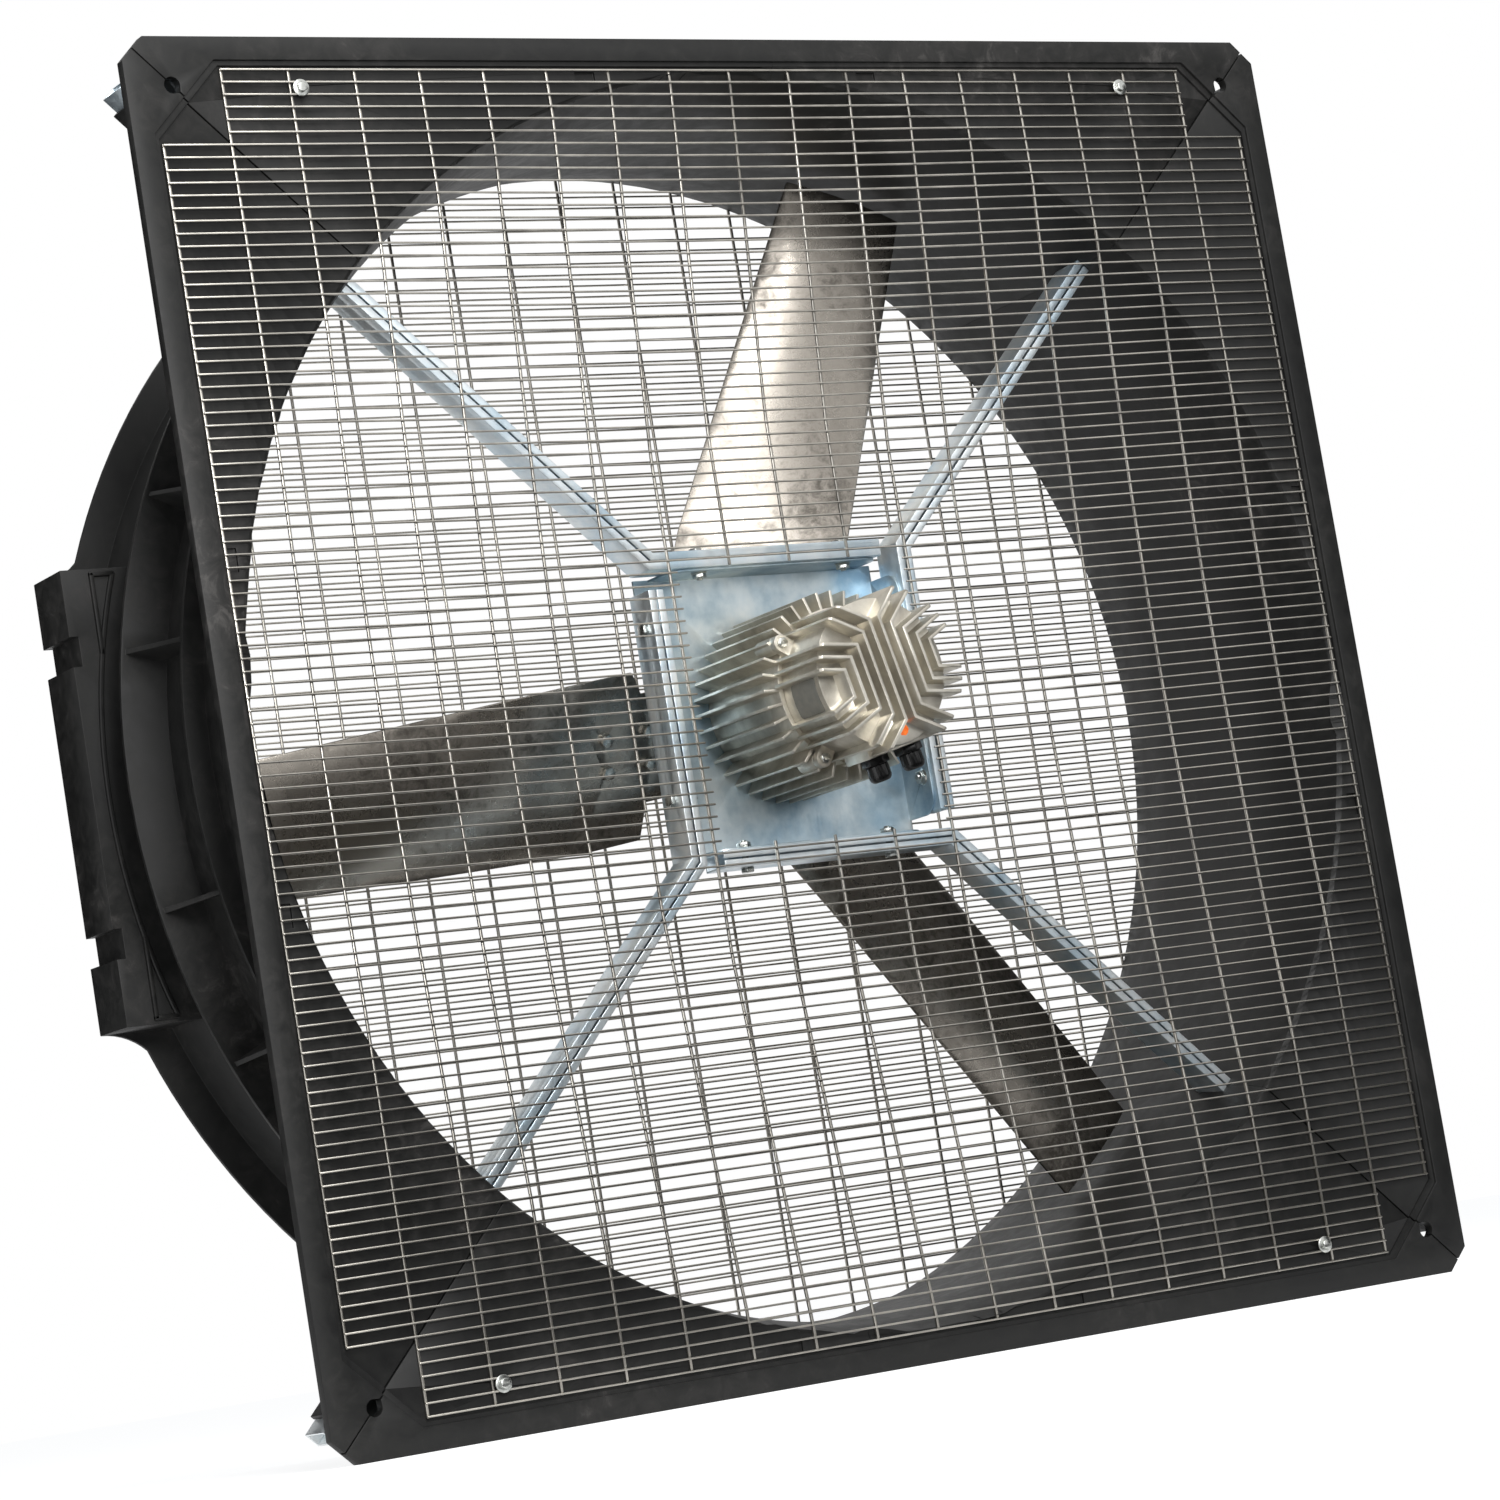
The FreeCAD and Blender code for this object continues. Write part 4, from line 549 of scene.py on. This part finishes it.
def label_plate(name):
    """A bare film with rounded corners, bent round the cap: a strip spun about Z, then thickened."""
    radius, low, high = 0.0773, -0.083, -0.038
    piece = spun(name, [(radius, low), (radius, high)], 16, label_sweep)
    only(piece)
    bpy.ops.object.mode_set(mode="EDIT")
    bpy.ops.mesh.select_mode(type="VERT")
    bpy.ops.mesh.select_all(action="DESELECT")
    bpy.ops.object.mode_set(mode="OBJECT")
    for corner in piece.data.vertices:
        turn = abs(math.atan2(corner.co.y, corner.co.x))
        corner.select = turn < 0.001 or abs(turn - label_sweep) < 0.001
    bpy.ops.object.mode_set(mode="EDIT")
    bpy.ops.mesh.bevel(offset=0.003, segments=4, affect="VERTICES")
    bpy.ops.object.mode_set(mode="OBJECT")
    film = piece.modifiers.new("film", "SOLIDIFY")
    film.thickness = 0.0004
    film.offset = 0
    bpy.ops.object.modifier_apply(modifier="film")
    return smoothed(piece)


def paint_dab(name):
    """A brushed-on dot of paint: a disc with a ragged rim and a thin domed top."""
    bpy.ops.object.select_all(action="DESELECT")
    bpy.ops.mesh.primitive_circle_add(vertices=28, radius=0.0062, fill_type="NGON")
    piece = bpy.context.object
    piece.name = name
    bpy.ops.object.mode_set(mode="EDIT")
    bpy.ops.mesh.select_all(action="SELECT")
    bpy.ops.transform.vertex_random(offset=0.0007, seed=4)
    bpy.ops.mesh.extrude_region_move(TRANSFORM_OT_translate={"value": (0, 0, 0.0003)})
    bpy.ops.mesh.inset(thickness=0.0010, depth=0.0002)
    bpy.ops.mesh.select_all(action="SELECT")
    bpy.ops.mesh.normals_make_consistent(inside=False)
    bpy.ops.object.mode_set(mode="OBJECT")
    return smoothed(piece, 60)


gland_places = [cap_turn @ Matrix.Translation((x, -0.0565, -0.080)) for x in (0.022, -0.022)]
set_out(cable_gland("cable_gland"), gland_places, "housing", "black_plastic", "cable_glands")
set_out(gland_seal("gland_seal"), gland_places, "housing", "seal_rubber", "cable_glands")
# The cap's side: X to the left, Z to the back
cap_side = Matrix(((-1, 0, 0, 0), (0, 0, 1, 0), (0, 1, 0, 0), (0, 0, 0, 1)))
label_place = cap_turn @ cap_side @ Matrix.Rotation(label_sweep / 2, 4, "Z")
set_out(label_plate("bare_label"), [label_place], "housing", None, None, label_film)
dab_place = cap_turn @ along((0.001, -0.0905, -0.063), front)
set_out(paint_dab("paint_mark"), [dab_place], "housing", None, None, marking_paint)


# Stage: floor, light and the photograph's camera


def pale_mix(tree, plain, pale, output):
    """Shows the pale shader to the camera and in reflections, and the plain one to other rays."""
    rays = node(tree, "ShaderNodeLightPath").outputs
    shown = rays["Is Camera Ray"]
    for kind in ("Is Glossy Ray", "Is Transmission Ray"):
        either = node(tree, "ShaderNodeMath", {0: shown, 1: rays[kind]}, operation="MAXIMUM")
        shown = either.outputs["Value"]
    mixed = node(tree, "ShaderNodeMixShader", {0: shown, 1: plain, 2: pale})
    node(tree, output, {"Surface": mixed.outputs["Shader"]})


def stage_floor():
    """A pale floor that takes the shadow softly and runs into the background."""
    bpy.ops.object.select_all(action="DESELECT")
    bpy.ops.mesh.primitive_plane_add(size=60, location=(0, 0, cad_box[0].z))
    floor = bpy.context.object
    floor.name = "floor"
    bpy.ops.object.transform_apply(location=True, rotation=True, scale=True)
    material, tree, place = new_material("pale_studio_floor")
    tone = node(tree, "ShaderNodeTexNoise", {"Vector": place, "Scale": 0.6, "Detail": 2.0})
    paper = node(tree, "ShaderNodeValToRGB", {"Fac": tone.outputs["Fac"]},
                 [(0.3, colour("#e9e9e8")), (0.7, colour("#efefee"))])
    matt = node(tree, "ShaderNodeBsdfDiffuse", {"Color": paper.outputs["Color"]})
    veil = node(tree, "ShaderNodeBsdfDiffuse", {"Color": grey(0.45)})
    glow = node(tree, "ShaderNodeEmission", {"Color": colour("#ffffff"), "Strength": 0.85})
    pale = node(tree, "ShaderNodeAddShader", {0: veil.outputs["BSDF"], 1: glow.outputs["Emission"]})
    pale_mix(tree, matt.outputs["BSDF"], pale.outputs["Shader"], "ShaderNodeOutputMaterial")
    floor.data.materials.append(material)


def dark_card(name, place, turn, size):
    """A dark card that the camera doesn't see and that only shows in reflections: a painted dark
    reflection.
    """
    bpy.ops.object.select_all(action="DESELECT")
    bpy.ops.mesh.primitive_plane_add(size=size, location=place, rotation=turn)
    card = bpy.context.object
    card.name = name
    bpy.ops.object.transform_apply(location=True, rotation=True, scale=True)
    for seen in ("visible_camera", "visible_diffuse", "visible_transmission", "visible_shadow"):
        setattr(card, seen, False)
    material, tree, at = new_material(f"black_cloth_{name}")
    card_mottle = node(tree, "ShaderNodeTexNoise", {"Vector": at, "Scale": per_mm(2)})
    # Painted dark reflection: near-black, seen only in the metal
    shade = node(tree, "ShaderNodeValToRGB", {"Fac": card_mottle.outputs["Fac"]},
                 [(0.3, colour("#0c0c0c")), (0.7, colour("#161616"))])
    reflection_dark = node(tree, "ShaderNodeBsdfDiffuse", {"Color": shade.outputs["Color"]})
    node(tree, "ShaderNodeOutputMaterial", {"Surface": reflection_dark.outputs["BSDF"]})
    card.data.materials.append(material)


def area_light(name, place, aim, size, power):
    """A round soft lamp."""
    lamp = bpy.data.lights.new(name, "AREA")
    lamp.shape = "DISK"
    lamp.size = size
    lamp.energy = power
    holder = bpy.data.objects.new(name, lamp)
    bpy.context.scene.collection.objects.link(holder)
    holder.location = place
    holder.rotation_euler = (Vector(aim) - Vector(place)).to_track_quat("-Z", "Y").to_euler()


def studio_world():
    """Soft light all round; what the camera and bright surfaces see of it is pale."""
    world = bpy.data.worlds.new("studio")
    bpy.context.scene.world = world
    world.use_nodes = True
    tree = world.node_tree
    tree.nodes.clear()
    soft = node(tree, "ShaderNodeBackground", {"Color": colour("#e3e9f0"), "Strength": 0.36})
    pale = node(tree, "ShaderNodeBackground", {"Color": colour("#ffffff"), "Strength": 1.0})
    pale_mix(tree, soft.outputs["Background"], pale.outputs["Background"], "ShaderNodeOutputWorld")


def photo_camera():
    """The photograph's camera, found from the corners of the square panel."""
    lens = bpy.data.cameras.new("photo_camera")
    lens.sensor_width = 36
    lens.lens = 112.71
    lens.clip_end = 100
    camera = bpy.data.objects.new("photo_camera", lens)
    bpy.context.scene.collection.objects.link(camera)
    right = Vector((0.84250, -0.51384, -0.16177))
    up = Vector((0.07559, -0.18456, 0.97991))
    turn = Matrix((right, up, right.cross(up))).transposed().to_4x4()
    camera.matrix_world = Matrix.Translation((-2.67469, -4.02194, -0.61564)) @ turn
    bpy.context.scene.camera = camera


stage_floor()
# The cards stand where the blades' reflections lead and paint dark reflections there, so the metal shows
# dark fields as well as pale
dark_card("floor_card", (0.9, -1.6, cad_box[0].z + 0.01), (0, 0, 0), 3)
dark_card("side_card", (2.3, -1.2, 0.4), (0, math.radians(90), 0), 2)
dark_card("front_card", (-0.2, -0.55, -0.2), (math.radians(90), 0, 0), 0.7)
dark_card("back_card", (-1.9, 1.4, 0.3), (math.radians(90), 0, 0), 2.6)
area_light("key", (-1.0, -3.4, 3.5), (0, 0, 0), 2.2, 135)
area_light("side", (-1.4, -3.6, 1.0), (0, -0.05, 0), 1.2, 85)
studio_world()
photo_camera()
bpy.context.scene.view_settings.view_transform = "Standard"
